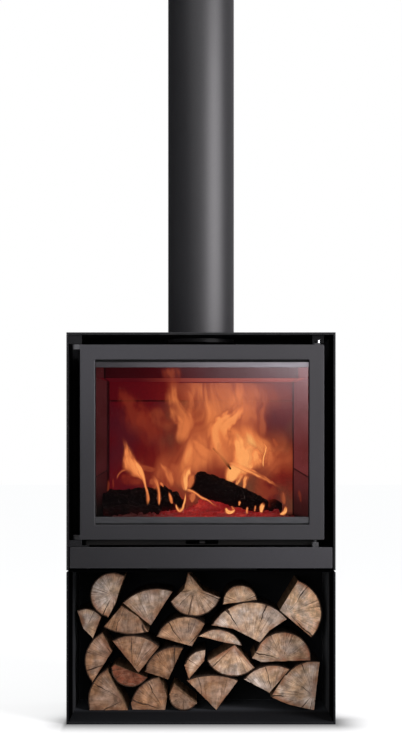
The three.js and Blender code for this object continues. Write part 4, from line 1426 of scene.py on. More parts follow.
@dataclass
class Studio:
    """The camera, the pale floor, the lamps and the world."""

    camera_height: float = 638.0
    camera_distance: float = 5025.0
    focal_px: float = 2020.0
    image_height_px: float = 736.0
    horizon_below_middle_px: float = 88.0
    sensor_mm: float = 36.0
    floor_half: float = 40.0
    foot_half_width: float = 0.320
    foot_front: float = -0.225
    foot_back: float = -0.150
    shadow_x: Pair = (-0.315, 0.315)
    shadow_reach: float = 0.098
    shadow_narrowing: Pair = (2.4, 1.75)
    shadow_depth: float = 0.74
    shadow_side_depth: Pair = (0.44, 0.70)
    glow_middle: Pair = (0.80, 1.30)
    glow_fall: float = 0.25
    glow_floor: float = 0.037
    glow_top: float = 0.42
    glow_colour: Colour = (12.4, 10.8, 11.7)
    card_colour: Colour = (0.020, 0.020, 0.022)
    key_level: float = 8.0
    above_level: float = 1.25
    beside_level: float = 1.85

    def camera(self) -> None:
        """A level camera in front of the door, shifted down as in the photograph."""
        data = bpy.data.cameras.new("camera")
        data.sensor_width = self.sensor_mm
        data.lens = self.focal_px / self.image_height_px * self.sensor_mm
        data.shift_y = self.horizon_below_middle_px / self.image_height_px
        data.clip_start, data.clip_end = 0.05, 200.0
        camera = bpy.data.objects.new("camera", data)
        camera.location = (0.0, -self.camera_distance * MM, self.camera_height * MM)
        camera.rotation_euler = (math.radians(90.0), 0.0, 0.0)
        bpy.context.scene.collection.objects.link(camera)
        bpy.context.scene.camera = camera

    @staticmethod
    def seen(graph: Graph) -> Value:
        """1 for a ray that shows the background itself: from the camera, a gloss or a glass."""
        rays = graph.add("ShaderNodeLightPath").outputs
        seen = graph.largest(rays["Is Camera Ray"], rays["Is Glossy Ray"])
        return graph.largest(seen, rays["Is Transmission Ray"])

    def world(self) -> None:
        """White behind the stove, and even soft light on it."""
        world = bpy.data.worlds.new("studio")
        world.use_nodes = True
        world.node_tree.nodes.clear()
        graph = Graph(world.node_tree)
        white = graph.add("ShaderNodeBackground", {"Color": (1.0, 1.0, 1.0), "Strength": 1.0})
        soft = graph.add("ShaderNodeBackground", {"Color": (0.96, 0.98, 1.0), "Strength": 0.62})
        mixed = graph.add("ShaderNodeMixShader", {0: self.seen(graph), 1: soft, 2: white})
        graph.add("ShaderNodeOutputWorld", {"Surface": mixed})
        bpy.context.scene.world = world

    def shadow(self, graph: Graph) -> Value:
        """How light the floor is round the stove: a painted shadow, soft to all sides and deep
        behind its foot.
        """
        near = graph.value("ShaderNodeAmbientOcclusion", {"Distance": 0.05}, "AO", samples=8)
        x, y, _ = graph.split(graph.place())
        beside = graph.largest(abs(x) - self.foot_half_width, 0.0)
        before = graph.largest(self.foot_front - y, 0.0)
        behind = graph.largest(y - self.foot_back, 0.0)
        narrow = graph.between(x, *self.shadow_x, *self.shadow_narrowing)
        away = graph.length(graph.pack(beside * narrow, behind * 1.3 + before))
        fade = graph.math("EXPONENT", (away / self.shadow_reach) ** 1.5 * -1.0)
        side = graph.between(x, *self.shadow_x, *self.shadow_side_depth)
        depth = graph.between(beside, 0.0, 0.012, self.shadow_depth, side)
        return (1.0 - fade * depth) * graph.between(near, 0.45, 0.9, 0.86, 1.0)

    def floor(self) -> None:
        """A white floor that keeps the stove's shadows, with a soft contact shadow painted round
        its foot.
        """
        half = self.floor_half
        corners = [(-half, -half, 0), (half, -half, 0), (half, half, 0), (-half, half, 0)]
        floor = mesh_object("floor", corners, [(0, 1, 2, 3)])
        graph = Surface("studio_floor", bare=True)
        level = self.shadow(graph)
        shade = graph.pack(level, level, level)
        matt = graph.add("ShaderNodeBsdfDiffuse", {"Color": (0.80, 0.80, 0.80)})
        shown = graph.add("ShaderNodeBsdfDiffuse", {"Color": graph.scaled(shade, 0.4)})
        white = graph.add("ShaderNodeEmission", {"Color": shade, "Strength": 0.74})
        both = graph.add("ShaderNodeAddShader", {0: shown, 1: white})
        surface = graph.add("ShaderNodeMixShader", {0: self.seen(graph), 1: matt, 2: both})
        graph.add("ShaderNodeOutputMaterial", {"Surface": surface})
        floor.data.materials.append(graph.material)

    @staticmethod
    def card(name: str, low: Point, high: Point, paint: Union[Colour, Callable]) -> None:
        """An upright or level studio card that only reflections and the glass see.

        Args:
            name: The card's name.
            low: One lower corner in metres.
            high: The opposite upper corner.
            paint: Its colour, or what adds the nodes of its light to a graph.
        """
        (x0, y0, z0), (x1, y1, z1) = low, high
        corners = [(x0, y0, z0), (x1, y1, z0), (x1, y1, z1), (x0, y0, z1)]
        if z0 == z1:
            corners = [(x0, y0, z0), (x1, y0, z0), (x1, y1, z0), (x0, y1, z0)]
        card = mesh_object(name, corners, [(0, 1, 2, 3)])
        graph = Surface(name, bare=True)
        colour = paint(graph) if callable(paint) else paint
        light = graph.add("ShaderNodeEmission", {"Color": colour, "Strength": 1.0})
        graph.add("ShaderNodeOutputMaterial", {"Surface": light})
        graph.no_lamp()
        card.data.materials.append(graph.material)
        card.visible_camera = card.visible_diffuse = card.visible_shadow = False

    def window_light(self, graph: Graph) -> Value:
        """A dark card with a bright place above the camera's right, which the glass mirrors."""
        x, _, z = graph.split(graph.place())
        across, upward = (x - self.glow_middle[0]) * 0.75, (z - self.glow_middle[1]) * 1.3
        distance = graph.length(graph.pack(across, upward))
        fall = graph.math("EXPONENT", distance / -self.glow_fall)
        spot = graph.smallest(fall - self.glow_floor, self.glow_top)
        lit = graph.scaled(self.glow_colour, graph.largest(spot, 0.0))
        above = graph.between(z, 1.25, 2.6) * graph.between(x, -1.2, 0.8, 0.62, 1.0)
        beside = graph.between(x, 0.70, 1.5) * graph.between(z, 2.4, 1.0)
        sheen = above * self.above_level + beside * self.beside_level
        return graph.vector("ADD", lit, graph.pack(*(sheen + part for part in self.card_colour)))

    def key_light(self, graph: Graph) -> Value:
        """The mirror image of the key light: even in its middle, fading at its edges."""
        x, _, z = graph.split(graph.place())
        rise = graph.between(x, 0.9, 1.9, 0.12, 1.0) * graph.between(x, 2.3, 3.35, 1.0, 0.4)
        level = rise * graph.between(z, 0.0, 2.2, 0.55, 1.0)
        return graph.scaled((self.key_level, self.key_level * 0.97, self.key_level), level)

    def cards(self) -> None:
        """Dark cards round the stove that give the pipe and the front their gradients."""
        dim = (0.05, 0.05, 0.055)
        for name, low, high, paint in (
                ("front_card", (-4.5, -6.6, -0.5), (4.5, -6.6, 5.5), self.window_light),
                ("floor_card", (-4.0, -6.5, 0.03), (4.0, -0.75, 0.03), self.card_colour),
                ("left_card", (-4.5, -6.6, -0.5), (-3.2, 0.5, 5.5), dim),
                ("back_left_card", (-3.2, 0.5, -0.5), (-0.6, 3.4, 5.5), dim),
                ("right_card", (4.5, -6.6, -0.5), (3.4, 0.3, 5.5), dim),
                ("back_right_card", (0.6, 3.4, -0.5), (3.4, 0.3, 5.5), (0.35, 0.34, 0.35)),
                ("key_card", (1.05, -3.23, 0.1), (3.35, -0.59, 3.6), self.key_light)):
            self.card(name, low, high, paint)

    @staticmethod
    def lamp(name: str, place: Point, target: Point, size: Pair, power: float,
             colour: Colour) -> None:
        """A soft rectangular lamp, which reflections don't show.

        Args:
            name: The lamp's name.
            place: Where it hangs, in metres.
            target: What it points at.
            size: Its width and height in metres.
            power: Its power in watts.
            colour: Its colour.
        """
        data = bpy.data.lights.new(name, "AREA")
        data.shape = "RECTANGLE"
        data.size, data.size_y = size
        data.energy, data.color = power, colour
        lamp = bpy.data.objects.new(name, data)
        lamp.location = place
        lamp.rotation_euler = (Vector(target) - Vector(place)).to_track_quat("-Z", "Y").to_euler()
        lamp.visible_camera = lamp.visible_transmission = lamp.visible_glossy = False
        bpy.context.scene.collection.objects.link(lamp)

    def lamps(self) -> None:
        """A broad key lamp at the right, and an even one in front."""
        self.lamp("key_lamp", (1.75, -2.50, 2.00), (0.0, 0.0, 1.1), (1.2, 2.2), 110.0,
                  (1.0, 0.97, 1.0))
        self.lamp("front_lamp", (-0.9, -5.6, 1.0), (0.0, 0.0, 0.4), (3.0, 1.6), 150.0,
                  (1.0, 0.99, 0.98))

    def build(self) -> None:
        """Sets the stage and the camera."""
        for step in (self.camera, self.world, self.floor, self.cards, self.lamps):
            step()
        scene = bpy.context.scene
        scene.view_settings.view_transform = "Standard"
        scene.cycles.transparent_max_bounces = 40


# ---------------------------------------------------------------------------
# Sub-assemblies
# ---------------------------------------------------------------------------


@dataclass
class Assembly:
    """A sub-assembly: finished copies of CAD nodes, and pieces that are made anew."""

    sheets: tuple[SheetPart, ...] = ()

    def build(self) -> None:
        """Builds the copies and then the new pieces."""
        for sheet in self.sheets:
            sheet.build()
        self.add_pieces()

    def add_pieces(self) -> None:
        """Builds the new pieces; most sub-assemblies have none."""


@dataclass
class Base(Assembly):
    """The open base of folded sheet that stores the firewood."""

    sheets: tuple[SheetPart, ...] = (
        SheetPart("base_floor", "base_floor_sheet", Slot.CASING, STORE_PAINT),
        SheetPart("base_left_side", "base_left_sheet", Slot.CASING, STORE_PAINT),
        SheetPart("base_right_side", "base_right_sheet", Slot.CASING, STORE_PAINT),
        SheetPart("base_back", "base_back_sheet", Slot.CASING, STORE_PAINT),
    )


@dataclass
class Casing(Assembly):
    """The outer cube with its vented and screwed back sheet."""

    sheets: tuple[SheetPart, ...] = (
        SheetPart("casing_bottom", "casing_bottom_plate", Slot.CASING, SHADED_SEAM_PAINT),
        SheetPart("casing_left_side", "casing_left_sheet", Slot.CASING, SIDE_PAINT),
        SheetPart("casing_right_side", "casing_right_sheet", Slot.CASING, SIDE_PAINT),
        SheetPart("casing_top", "casing_top_sheet", Slot.CASING, CASING_PAINT),
        SheetPart("casing_back", "casing_back_sheet", Slot.CASING, CASING_PAINT, 0.6),
    )
    screw_radius: float = 4.0
    screw_height: float = 1.4
    screw_sunk: float = 0.3
    screw_inset: float = 12.0
    screw_count: int = 5
    vent_columns: int = 6
    vent_pitch: float = 84.0
    vent_heights: tuple[float, ...] = (416.0, 438.0, 855.0, 877.0)

    def back_screws(self) -> list[Point]:
        """The places of the screws round the back sheet, in millimetres."""
        low, high = (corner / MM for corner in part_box("casing_back"))
        xs, zs = (np.linspace(start + self.screw_inset, end - self.screw_inset, self.screw_count)
                  for start, end in ((low.x, high.x), (low.z, high.z)))
        y = high.y + self.screw_height * 0.5 - self.screw_sunk
        return ([(x, y, z) for x in xs for z in (zs[0], zs[-1])]
                + [(x, y, z) for x in (xs[0], xs[-1]) for z in zs[1:-1]])

    def add_pieces(self) -> None:
        """Builds the screws and the louvres of the back."""
        tree = screw_tree(self.screw_radius, self.screw_height, HINGE_STEEL)
        screws = tree.make("casing_back_screws", outward_points(self.back_screws()))
        smooth(screws, 30.0)
        publish(screws, Body.ROOT, Slot.HINGE)
        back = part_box("casing_back")[1].y / MM
        columns = [(index - (self.vent_columns - 1) / 2) * self.vent_pitch
                   for index in range(self.vent_columns)]
        vents = [(x, back, z) for z in self.vent_heights for x in columns]
        hoods = louvre_tree(CASING_PAINT).make("casing_back_louvres", outward_points(vents))
        smooth(hoods, 40.0)
        publish(hoods, Body.ROOT, Slot.CASING)


@dataclass
class Firebox(Assembly):
    """The welded firebox with its linings, its grate and the latch catch."""

    sheets: tuple[SheetPart, ...] = (
        SheetPart("firebox_bottom", "firebox_floor_plate", Slot.FIREBOX, FIREBOX_STEEL, 0.6),
        SheetPart("firebox_left_wall", "firebox_left_plate", Slot.FIREBOX, FIREBOX_STEEL, 0.6),
        SheetPart("firebox_right_wall", "firebox_right_plate", Slot.FIREBOX, FIREBOX_STEEL, 0.6),
        SheetPart("firebox_back_wall", "firebox_back_plate", Slot.FIREBOX, FIREBOX_STEEL, 0.6),
        SheetPart("firebox_top", "firebox_top_plate", Slot.FIREBOX, FIREBOX_STEEL, 0.6),
        SheetPart("firebox_front_frame", "firebox_front_plate", Slot.FIREBOX, FIREBOX_STEEL, 0.6),
        SheetPart("hearth_brick", "hearth_slab", Slot.BRICK, HEARTH_BRICK, 1.4),
        SheetPart("lining_left", "left_side_brick", Slot.BRICK, BACK_BRICK, 1.4),
        SheetPart("lining_right", "right_side_brick", Slot.BRICK, BACK_BRICK, 1.4),
        SheetPart("lining_back_lower", "lower_back_brick", Slot.BRICK, BACK_BRICK, 1.4),
        SheetPart("lining_back_upper", "upper_back_brick", Slot.BRICK, BACK_BRICK, 1.4),
        SheetPart("smoke_baffle", "smoke_baffle_brick", Slot.BRICK, BAFFLE_BRICK, 1.4),
        SheetPart("fire_grate", "cast_fire_grate", Slot.IRON, CAST_IRON, 1.2),
        SheetPart("latch_catch", "latch_catch_leaf", Slot.FIREBOX, SHADED_RECESS_PAINT, 0.5),
    )


@dataclass
class Drawer(Assembly):
    """The ash drawer's front panel and pan."""

    sheets: tuple[SheetPart, ...] = (
        SheetPart("drawer_front", "drawer_front_panel", Slot.FRONT, FRONT_PAINT, 2.0),
        SheetPart("ash_pan", "ash_pan_tray", Slot.FIREBOX, PAN_STEEL, 0.5),
    )


@dataclass
class AirControl(Assembly):
    """The sliding air plate with its tab under the door."""

    sheets: tuple[SheetPart, ...] = (
        SheetPart("air_slide", "air_slide_plate", Slot.FIREBOX, FIREBOX_STEEL, 0.5),
    )


@dataclass
class Door(Assembly):
    """The door: frame, glass, the two strips and the rope seal."""

    sheets: tuple[SheetPart, ...] = (
        SheetPart("door_frame", "door_frame_casting", Slot.FRONT, DOOR_PAINT, 0.0, smooth_to=50.0),
        SheetPart("door_glass", "door_glass_pane", Slot.GLASS, GLASS, 0.5),
        SheetPart("glass_top_strip", "glass_upper_strip", Slot.STRIP, TOP_STRIP, 0.4),
        SheetPart("glass_bottom_strip", "glass_lower_strip", Slot.STRIP, BOTTOM_STRIP, 0.4),
    )
    rope_width: float = 10.0
    rope_corner: float = 14.0
    corner_steps: int = 8

    def add_pieces(self) -> None:
        """Builds the rope seal, which runs round the glass on the door's back."""
        low, high = (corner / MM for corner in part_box("door_seal"))
        inset = self.rope_width / 2 + self.rope_corner
        x0, x1, z0, z1 = low.x + inset, high.x - inset, low.z + inset, high.z - inset
        y = (low.y + high.y) / 2
        line = []
        for x, z, start in ((x1, z1, 0), (x0, z1, 90), (x0, z0, 180), (x1, z0, 270)):
            for step in range(self.corner_steps + 1):
                angle = math.radians(start + 90 * step / self.corner_steps)
                line.append(((x + self.rope_corner * math.cos(angle)) * MM, y * MM,
                             (z + self.rope_corner * math.sin(angle)) * MM))
        base = mesh_object("rope_line", line, [])
        base.data.edges.add(len(line))
        ends = [end for index in range(len(line)) for end in (index, (index + 1) % len(line))]
        base.data.edges.foreach_set("vertices", ends)
        rope = rope_tree(y * MM, ROPE).make("door_rope_seal", base)
        smooth(rope, 60.0)
        publish(rope, Body.DOOR, Slot.ROPE, stands_for=["door_seal"])


@dataclass
class Hinges(Assembly):
    """The fixed hinge brackets on the casing."""

    sheets: tuple[SheetPart, ...] = (
        SheetPart("upper_hinge_bracket", "upper_hinge_block", Slot.HINGE, SHADED_RECESS_PAINT, 0.7, 40.0),
        SheetPart("lower_hinge_bracket", "lower_hinge_block", Slot.HINGE, SHADED_RECESS_PAINT, 0.7, 40.0),
    )


@dataclass
class Latch(Assembly):
    """The latch rod with its crank, lever and roller."""

    sheets: tuple[SheetPart, ...] = (
        SheetPart("latch_shaft", "latch_rod_lever", Slot.HINGE, HINGE_STEEL, 0.6, 40.0),
        SheetPart("latch_roller", "latch_roller_ring", Slot.BRIGHT, BRIGHT_STEEL, 0.0),
    )


@dataclass
class Flue(Assembly):
    """The collar and the straight pipe."""

    sheets: tuple[SheetPart, ...] = (
        SheetPart("flue_collar", "flue_collar_ring", Slot.FIREBOX, SHADED_SEAM_PAINT, 0.0),
    )
    axis: Pair = (0.0, 20.0)
    radius: float = 82.0
    wall: float = 2.0
    socket_length: float = 52.0
    socket_draw: float = 1.6
    bead: float = 1.2
    segments: int = 160

    def add_pieces(self) -> None:
        """Builds the pipe: plain for most of its length, drawn in at its top for the next one."""
        low, high = (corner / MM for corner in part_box("flue_pipe"))
        outer, inner = self.radius, self.radius - self.wall
        neck = high.z - self.socket_length
        section = [
            (inner, low.z), (outer, low.z), (outer, neck - 12), (outer - self.bead, neck - 9),
            (outer - self.bead, neck - 6), (outer, neck - 3), (outer, neck),
            (outer - self.socket_draw, neck + 3), (outer - self.socket_draw, high.z),
            (inner - self.socket_draw, high.z), (inner - self.socket_draw, neck + 3),
            (inner, neck),
        ]
        pipe = turned("flue_pipe_length", self.axis, section, self.segments)
        smooth(pipe, 35.0)
        publish(pipe, Body.ROOT, Slot.FLUE, FLUE_PAINT, stands_for=["flue_pipe"])


# ---------------------------------------------------------------------------
# Firewood
# ---------------------------------------------------------------------------


class LogMesh:
    """The mesh of one log while it is made, with what its finishes read."""

    SAWN, BARKED, SPLIT = range(3)

    def __init__(self, pith: Sequence[float], tone: float, red: float) -> None:
        """Starts without any face.

        Args:
            pith: The x and z of the centre of the rings, in millimetres.
            tone: How light the log's ends are, about 1.
            red: How red they are, from 0 to 1.
        """
        self.pith, self.tone, self.red = pith, tone, red
        self.vertices, self.pith_offsets, self.tints = [], [], []
        self.faces, self.kinds = [], []

    def put(self, x: float, y: float, z: float, rim: float, inside: float = 0.0) -> int:
        """Adds a vertex with its attributes, in millimetres, and returns its number."""
        self.vertices.append((x * MM, y * MM, z * MM))
        offset = (x - self.pith[0]) * MM, (z - self.pith[1]) * MM, inside * MM
        self.pith_offsets.append(offset)
        self.tints.append((rim, self.tone, self.red))
        return len(self.vertices) - 1

    def ring_faces(self, outer: Sequence[int], inner: Union[Sequence[int], int],
                   front: bool) -> None:
        """Joins two rings of an end, or its last ring and its middle vertex."""
        for column, start in enumerate(outer):
            other = (column + 1) % len(outer)
            if isinstance(inner, int):
                face = (start, inner, outer[other])
            else:
                face = (start, inner[column], inner[other], outer[other])
            self.faces.append(face if front else face[::-1])
            self.kinds.append(self.SAWN)

    def finish(self, name: str) -> Object:
        """Makes the object with its attributes and its three materials."""
        obj = mesh_object(name, self.vertices, self.faces)
        mark(obj, "pith", self.pith_offsets)
        mark(obj, "tint", self.tints)
        for finish in (END_GRAIN, BARK, SPLIT_WOOD):
            obj.data.materials.append(finish.material())
        obj.data.polygons.foreach_set("material_index", self.kinds)
        smooth(obj, 42.0)
        return obj


@dataclass
class Firewood:
    """The split logs: each is a finer copy of its CAD node with sawn ends, bark and split sides."""

    tones: tuple[float, ...] = (0.51, 0.53, 0.47, 0.63, 1.09, 1.00, 0.41, 0.42, 0.90, 0.59, 0.55,
                                0.97, 0.89, 1.09, 0.90, 0.53, 0.69, 1.08, 0.79, 0.84, 1.08, 1.08,
                                1.60)
    reddish: dict[int, float] = field(
        default_factory=lambda: {7: 0.75, 13: 0.30, 16: 0.16, 11: 0.12, 10: 0.14})
    most_red: float = 0.12
    bark_edge: float = 11.5
    step: float = 3.0
    rim_steps: tuple[float, ...] = (0.0, 1.0, 2.4, 3.2)
    inner_rings: int = 13
    stations: int = 26
    end_crowding: float = 0.04
    bark_depth: float = 1.5
    split_depth: float = 0.9
    face_depth: float = 1.3
    kernel_steps: int = 41
    seed: int = 5
    seed_step: float = 7.31

    @staticmethod
    def outline(node: str) -> tuple[np.ndarray, float, float]:
        """The front outline of a log node.

        Args:
            node: The CAD node's name.

        Returns:
            The corners in millimetres, anticlockwise from the front, and the log's front and
            back y.
        """
        edit = bmesh.new()
        edit.from_mesh(frame["nodes"][node].data)
        bmesh.ops.remove_doubles(edit, verts=edit.verts, dist=1e-5)
        ys = [v.co.y for v in edit.verts]
        front, back = min(ys), max(ys)
        rim = {}
        for edge in edit.edges:
            a, b = edge.verts
            if max(a.co.y, b.co.y) - front < 1e-5:
                if any(v.co.y - front > 1e-5 for face in edge.link_faces for v in face.verts):
                    rim.setdefault(a, []).append(b)
                    rim.setdefault(b, []).append(a)
        start = next(iter(rim))
        chain, previous, current = [start], None, start
        while True:
            following = next(v for v in rim[current] if v is not previous)
            if following is start:
                break
            chain.append(following)
            previous, current = current, following
        points = np.array([(v.co.x, v.co.z) for v in chain]) / MM
        edit.free()
        x, z = points.T
        if np.sum(x * np.roll(z, -1) - np.roll(x, -1) * z) < 0:
            points = points[::-1]
        return points, front / MM, back / MM

    def kernel(self, points: np.ndarray) -> np.ndarray:
        """The point that is deepest inside all the outline's sides."""
        edges = np.roll(points, -1, axis=0) - points
        normals = np.stack([-edges[:, 1], edges[:, 0]], axis=1)
        normals /= np.linalg.norm(normals, axis=1)[:, None]
        spans = [np.linspace(low, high, self.kernel_steps)
                 for low, high in zip(points.min(0), points.max(0))]
        grid = np.stack(np.meshgrid(*spans), -1).reshape(-1, 2)
        offsets = np.einsum("ek,ek->e", points, normals)
        depth = np.min(np.einsum("gk,ek->ge", grid, normals) - offsets[None], axis=1)
        return grid[np.argmax(depth)]

    @staticmethod
    def ring_centre(points: np.ndarray, bark: np.ndarray) -> np.ndarray:
        """Fits a circle to the bark and gives its centre, the pith."""
        chosen = points[bark | np.roll(bark, 1)]
        if len(chosen) < 3:
            return points.mean(0)
        matrix = np.column_stack([2 * chosen, np.ones(len(chosen))])
        solution, *_ = np.linalg.lstsq(matrix, (chosen ** 2).sum(1), rcond=None)
        return solution[:2]

    def rim(self, points: np.ndarray, bark: np.ndarray) -> tuple[np.ndarray, ...]:
        """Steps finely round the outline.

        Args:
            points: The outline's corners.
            bark: Whether each side, from its corner on, is bark.

        Returns:
            The places, whether each is on bark, and the inward direction at each.
        """
        places, flags, inward = [], [], []
        for index, start in enumerate(points):
            end = points[(index + 1) % len(points)]
            length = np.linalg.norm(end - start)
            direction = (end - start) / length
            steps = max(1, int(round(length / self.step)))
            for step in range(steps):
                places.append(start + direction * length * step / steps)
                flags.append(bark[index])
                inward.append((-direction[1], direction[0]))
        inward = np.array(inward)
        inward = inward + np.roll(inward, 1, axis=0)
        inward /= np.linalg.norm(inward, axis=1)[:, None]
        return np.array(places), np.array(flags), inward

    def inset(self, place: Point, is_bark: bool, seed: float) -> float:
        """How far a point of the sides lies inside the CAD outline, in millimetres."""
        x, y, z = place
        if is_bark:
            ridge = noise.noise(Vector((x / 9.0, y / 60.0, z / 9.0 + seed)))
            coarse = noise.noise(Vector((x / 30.0 + seed, y / 45.0, z / 30.0)))
            return self.bark_depth * (0.55 + 0.55 * ridge + 0.4 * coarse)
        wave = noise.noise(Vector((x / 22.0, y / 90.0 + seed, z / 22.0)))
        splinter = noise.noise(Vector((x / 6.0 + seed, y / 70.0, z / 6.0)))
        return self.split_depth * (0.6 + 0.7 * wave + 0.35 * splinter)

    def face_inset(self, place: Sequence[float], seed: float) -> float:
        """How far a point of a sawn end lies behind the CAD end, in millimetres."""
        x, z = place
        wave = noise.noise(Vector((x / 28.0 + seed, z / 28.0, seed)))
        tear = noise.noise(Vector((x / 7.0, z / 7.0 - seed, 3.0)))
        return self.face_depth * max(0.0, 0.5 + 0.5 * wave + 0.25 * tear)

    def side_places(self, points: np.ndarray, bark: np.ndarray, depths: np.ndarray,
                    seed: float) -> tuple[np.ndarray, np.ndarray]:
        """The log's long sides.

        Args:
            points: The outline's corners.
            bark: Whether each side, from its corner on, is bark.
            depths: The y of each ring of points, in millimetres.
            seed: What sets the log's noise apart from the other logs'.

        Returns:
            The places by ring and column in millimetres, and whether each column is bark.
        """
        places, flags, inward = self.rim(points, bark)
        sides = np.zeros((len(depths), len(places), 3))
        for row, y in enumerate(depths):
            for column, (place, flag, way) in enumerate(zip(places, flags, inward)):
                x, z = place + way * max(0.0, self.inset((place[0], y, place[1]), flag, seed))
                sides[row, column] = (x, y, z)
        return sides, flags

    def sawn_end(self, mesh: LogMesh, numbers: np.ndarray, edge: np.ndarray, flags: np.ndarray,
                 centre: np.ndarray, seed: float) -> None:
        """Closes one end of a log with rings of faces that shrink towards a middle point.

        Args:
            mesh: The mesh that the faces go into.
            numbers: The vertices of the sides' last ring.
            edge: Their places in millimetres.
            flags: Whether each is on bark.
            centre: The x and z of the middle point.
            seed: What sets the log's noise apart from the other logs'.
        """
        front = bool(numbers[0] == 0)
        y, way = edge[0, 1], 1.0 if front else -1.0
        edge = edge[:, [0, 2]]
        reach = np.linalg.norm(edge - centre, axis=1)
        rims = len(self.rim_steps)
        previous = numbers
        for ring in range(1, rims + self.inner_rings):
            if ring < rims:
                left = np.clip(1.0 - self.rim_steps[ring] / reach, 0.0, 1.0)
                mask = np.where(flags & (ring < rims - 1), 1.0, 0.0)
            else:
                inner = (ring - rims + 1) / (self.inner_rings + 1)
                left = np.clip(1.0 - self.rim_steps[-1] / reach, 0.0, 1.0) * (1.0 - inner)
                mask = np.zeros(len(edge))
            current = []
            for column, share in enumerate(left):
                x, z = centre + (edge[column] - centre) * share
                inside = reach[column] * (1.0 - share)
                depth = y + way * self.face_inset((x, z), seed)
                current.append(mesh.put(x, depth, z, mask[column], inside))
            mesh.ring_faces(previous, current, front)
            previous = current
        depth = y + way * self.face_inset(centre, seed)
        middle = mesh.put(centre[0], depth, centre[1], 0.0, float(reach.mean()))
        mesh.ring_faces(previous, middle, front)

    def log(self, number: int, tone: float, red: float) -> Object:
        """Builds one log.

        Args:
            number: The log's number in the frame, from 1.
            tone: How light its ends are, about 1.
            red: How red its ends are, from 0 to 1.

        Returns:
            The piece.
        """
        node = f"log_{number:02d}"
        points, front, back = self.outline(node)
        bark = np.linalg.norm(np.roll(points, -1, axis=0) - points, axis=1) < self.bark_edge
        centre, seed = self.kernel(points), number * self.seed_step
        share = np.linspace(0.0, 1.0, self.stations)
        depths = front + (back - front) * (share - self.end_crowding * np.sin(TURN * share))
        sides, flags = self.side_places(points, bark, depths, seed)
        mesh = LogMesh(self.ring_centre(points, bark), tone, red)
        numbers = np.array([[mesh.put(*place, float(flag)) for place, flag in zip(ring, flags)]
                            for ring in sides])
        mesh.faces += grid_faces(*numbers.shape, closed=True)
        kinds = [LogMesh.BARKED if flag else LogMesh.SPLIT for flag in flags]
        mesh.kinds += kinds * (self.stations - 1)
        for row in (0, -1):
            self.sawn_end(mesh, numbers[row], sides[row], flags, centre, seed)
        return publish(mesh.finish(f"split_log_{number:02d}"), Body.ROOT, Slot.WOOD,
                       stands_for=[node])

    def build(self) -> None:
        """Builds all the logs."""
        draw = random.Random(self.seed)
        for number, tone in enumerate(self.tones, 1):
            red = draw.uniform(0.0, self.most_red)
            self.log(number, tone, self.reddish.get(number, red))


# ---------------------------------------------------------------------------
# Fire
# ---------------------------------------------------------------------------


@dataclass(frozen=True)
class Flame:
    """One flame, at the depth y.

    It has a heat and a cover from 0 to 1 and the share of its length that is soft at its foot.
    Its line runs from base to tip as x, z and half width, all in millimetres.
    """

    name: str
    depth: float
    heat: float
    cover: float
    foot: float
    line: tuple[Point, ...]


@dataclass(frozen=True)
class BurningLog:
    """A burning log between two ends, in millimetres."""

    name: str
    start: Point
    end: Point
    radius: float
    finish: Finish = COLD_CHAR
    flat: float = 0.85
    tip: float = 1.0
    rough: float = 1.0


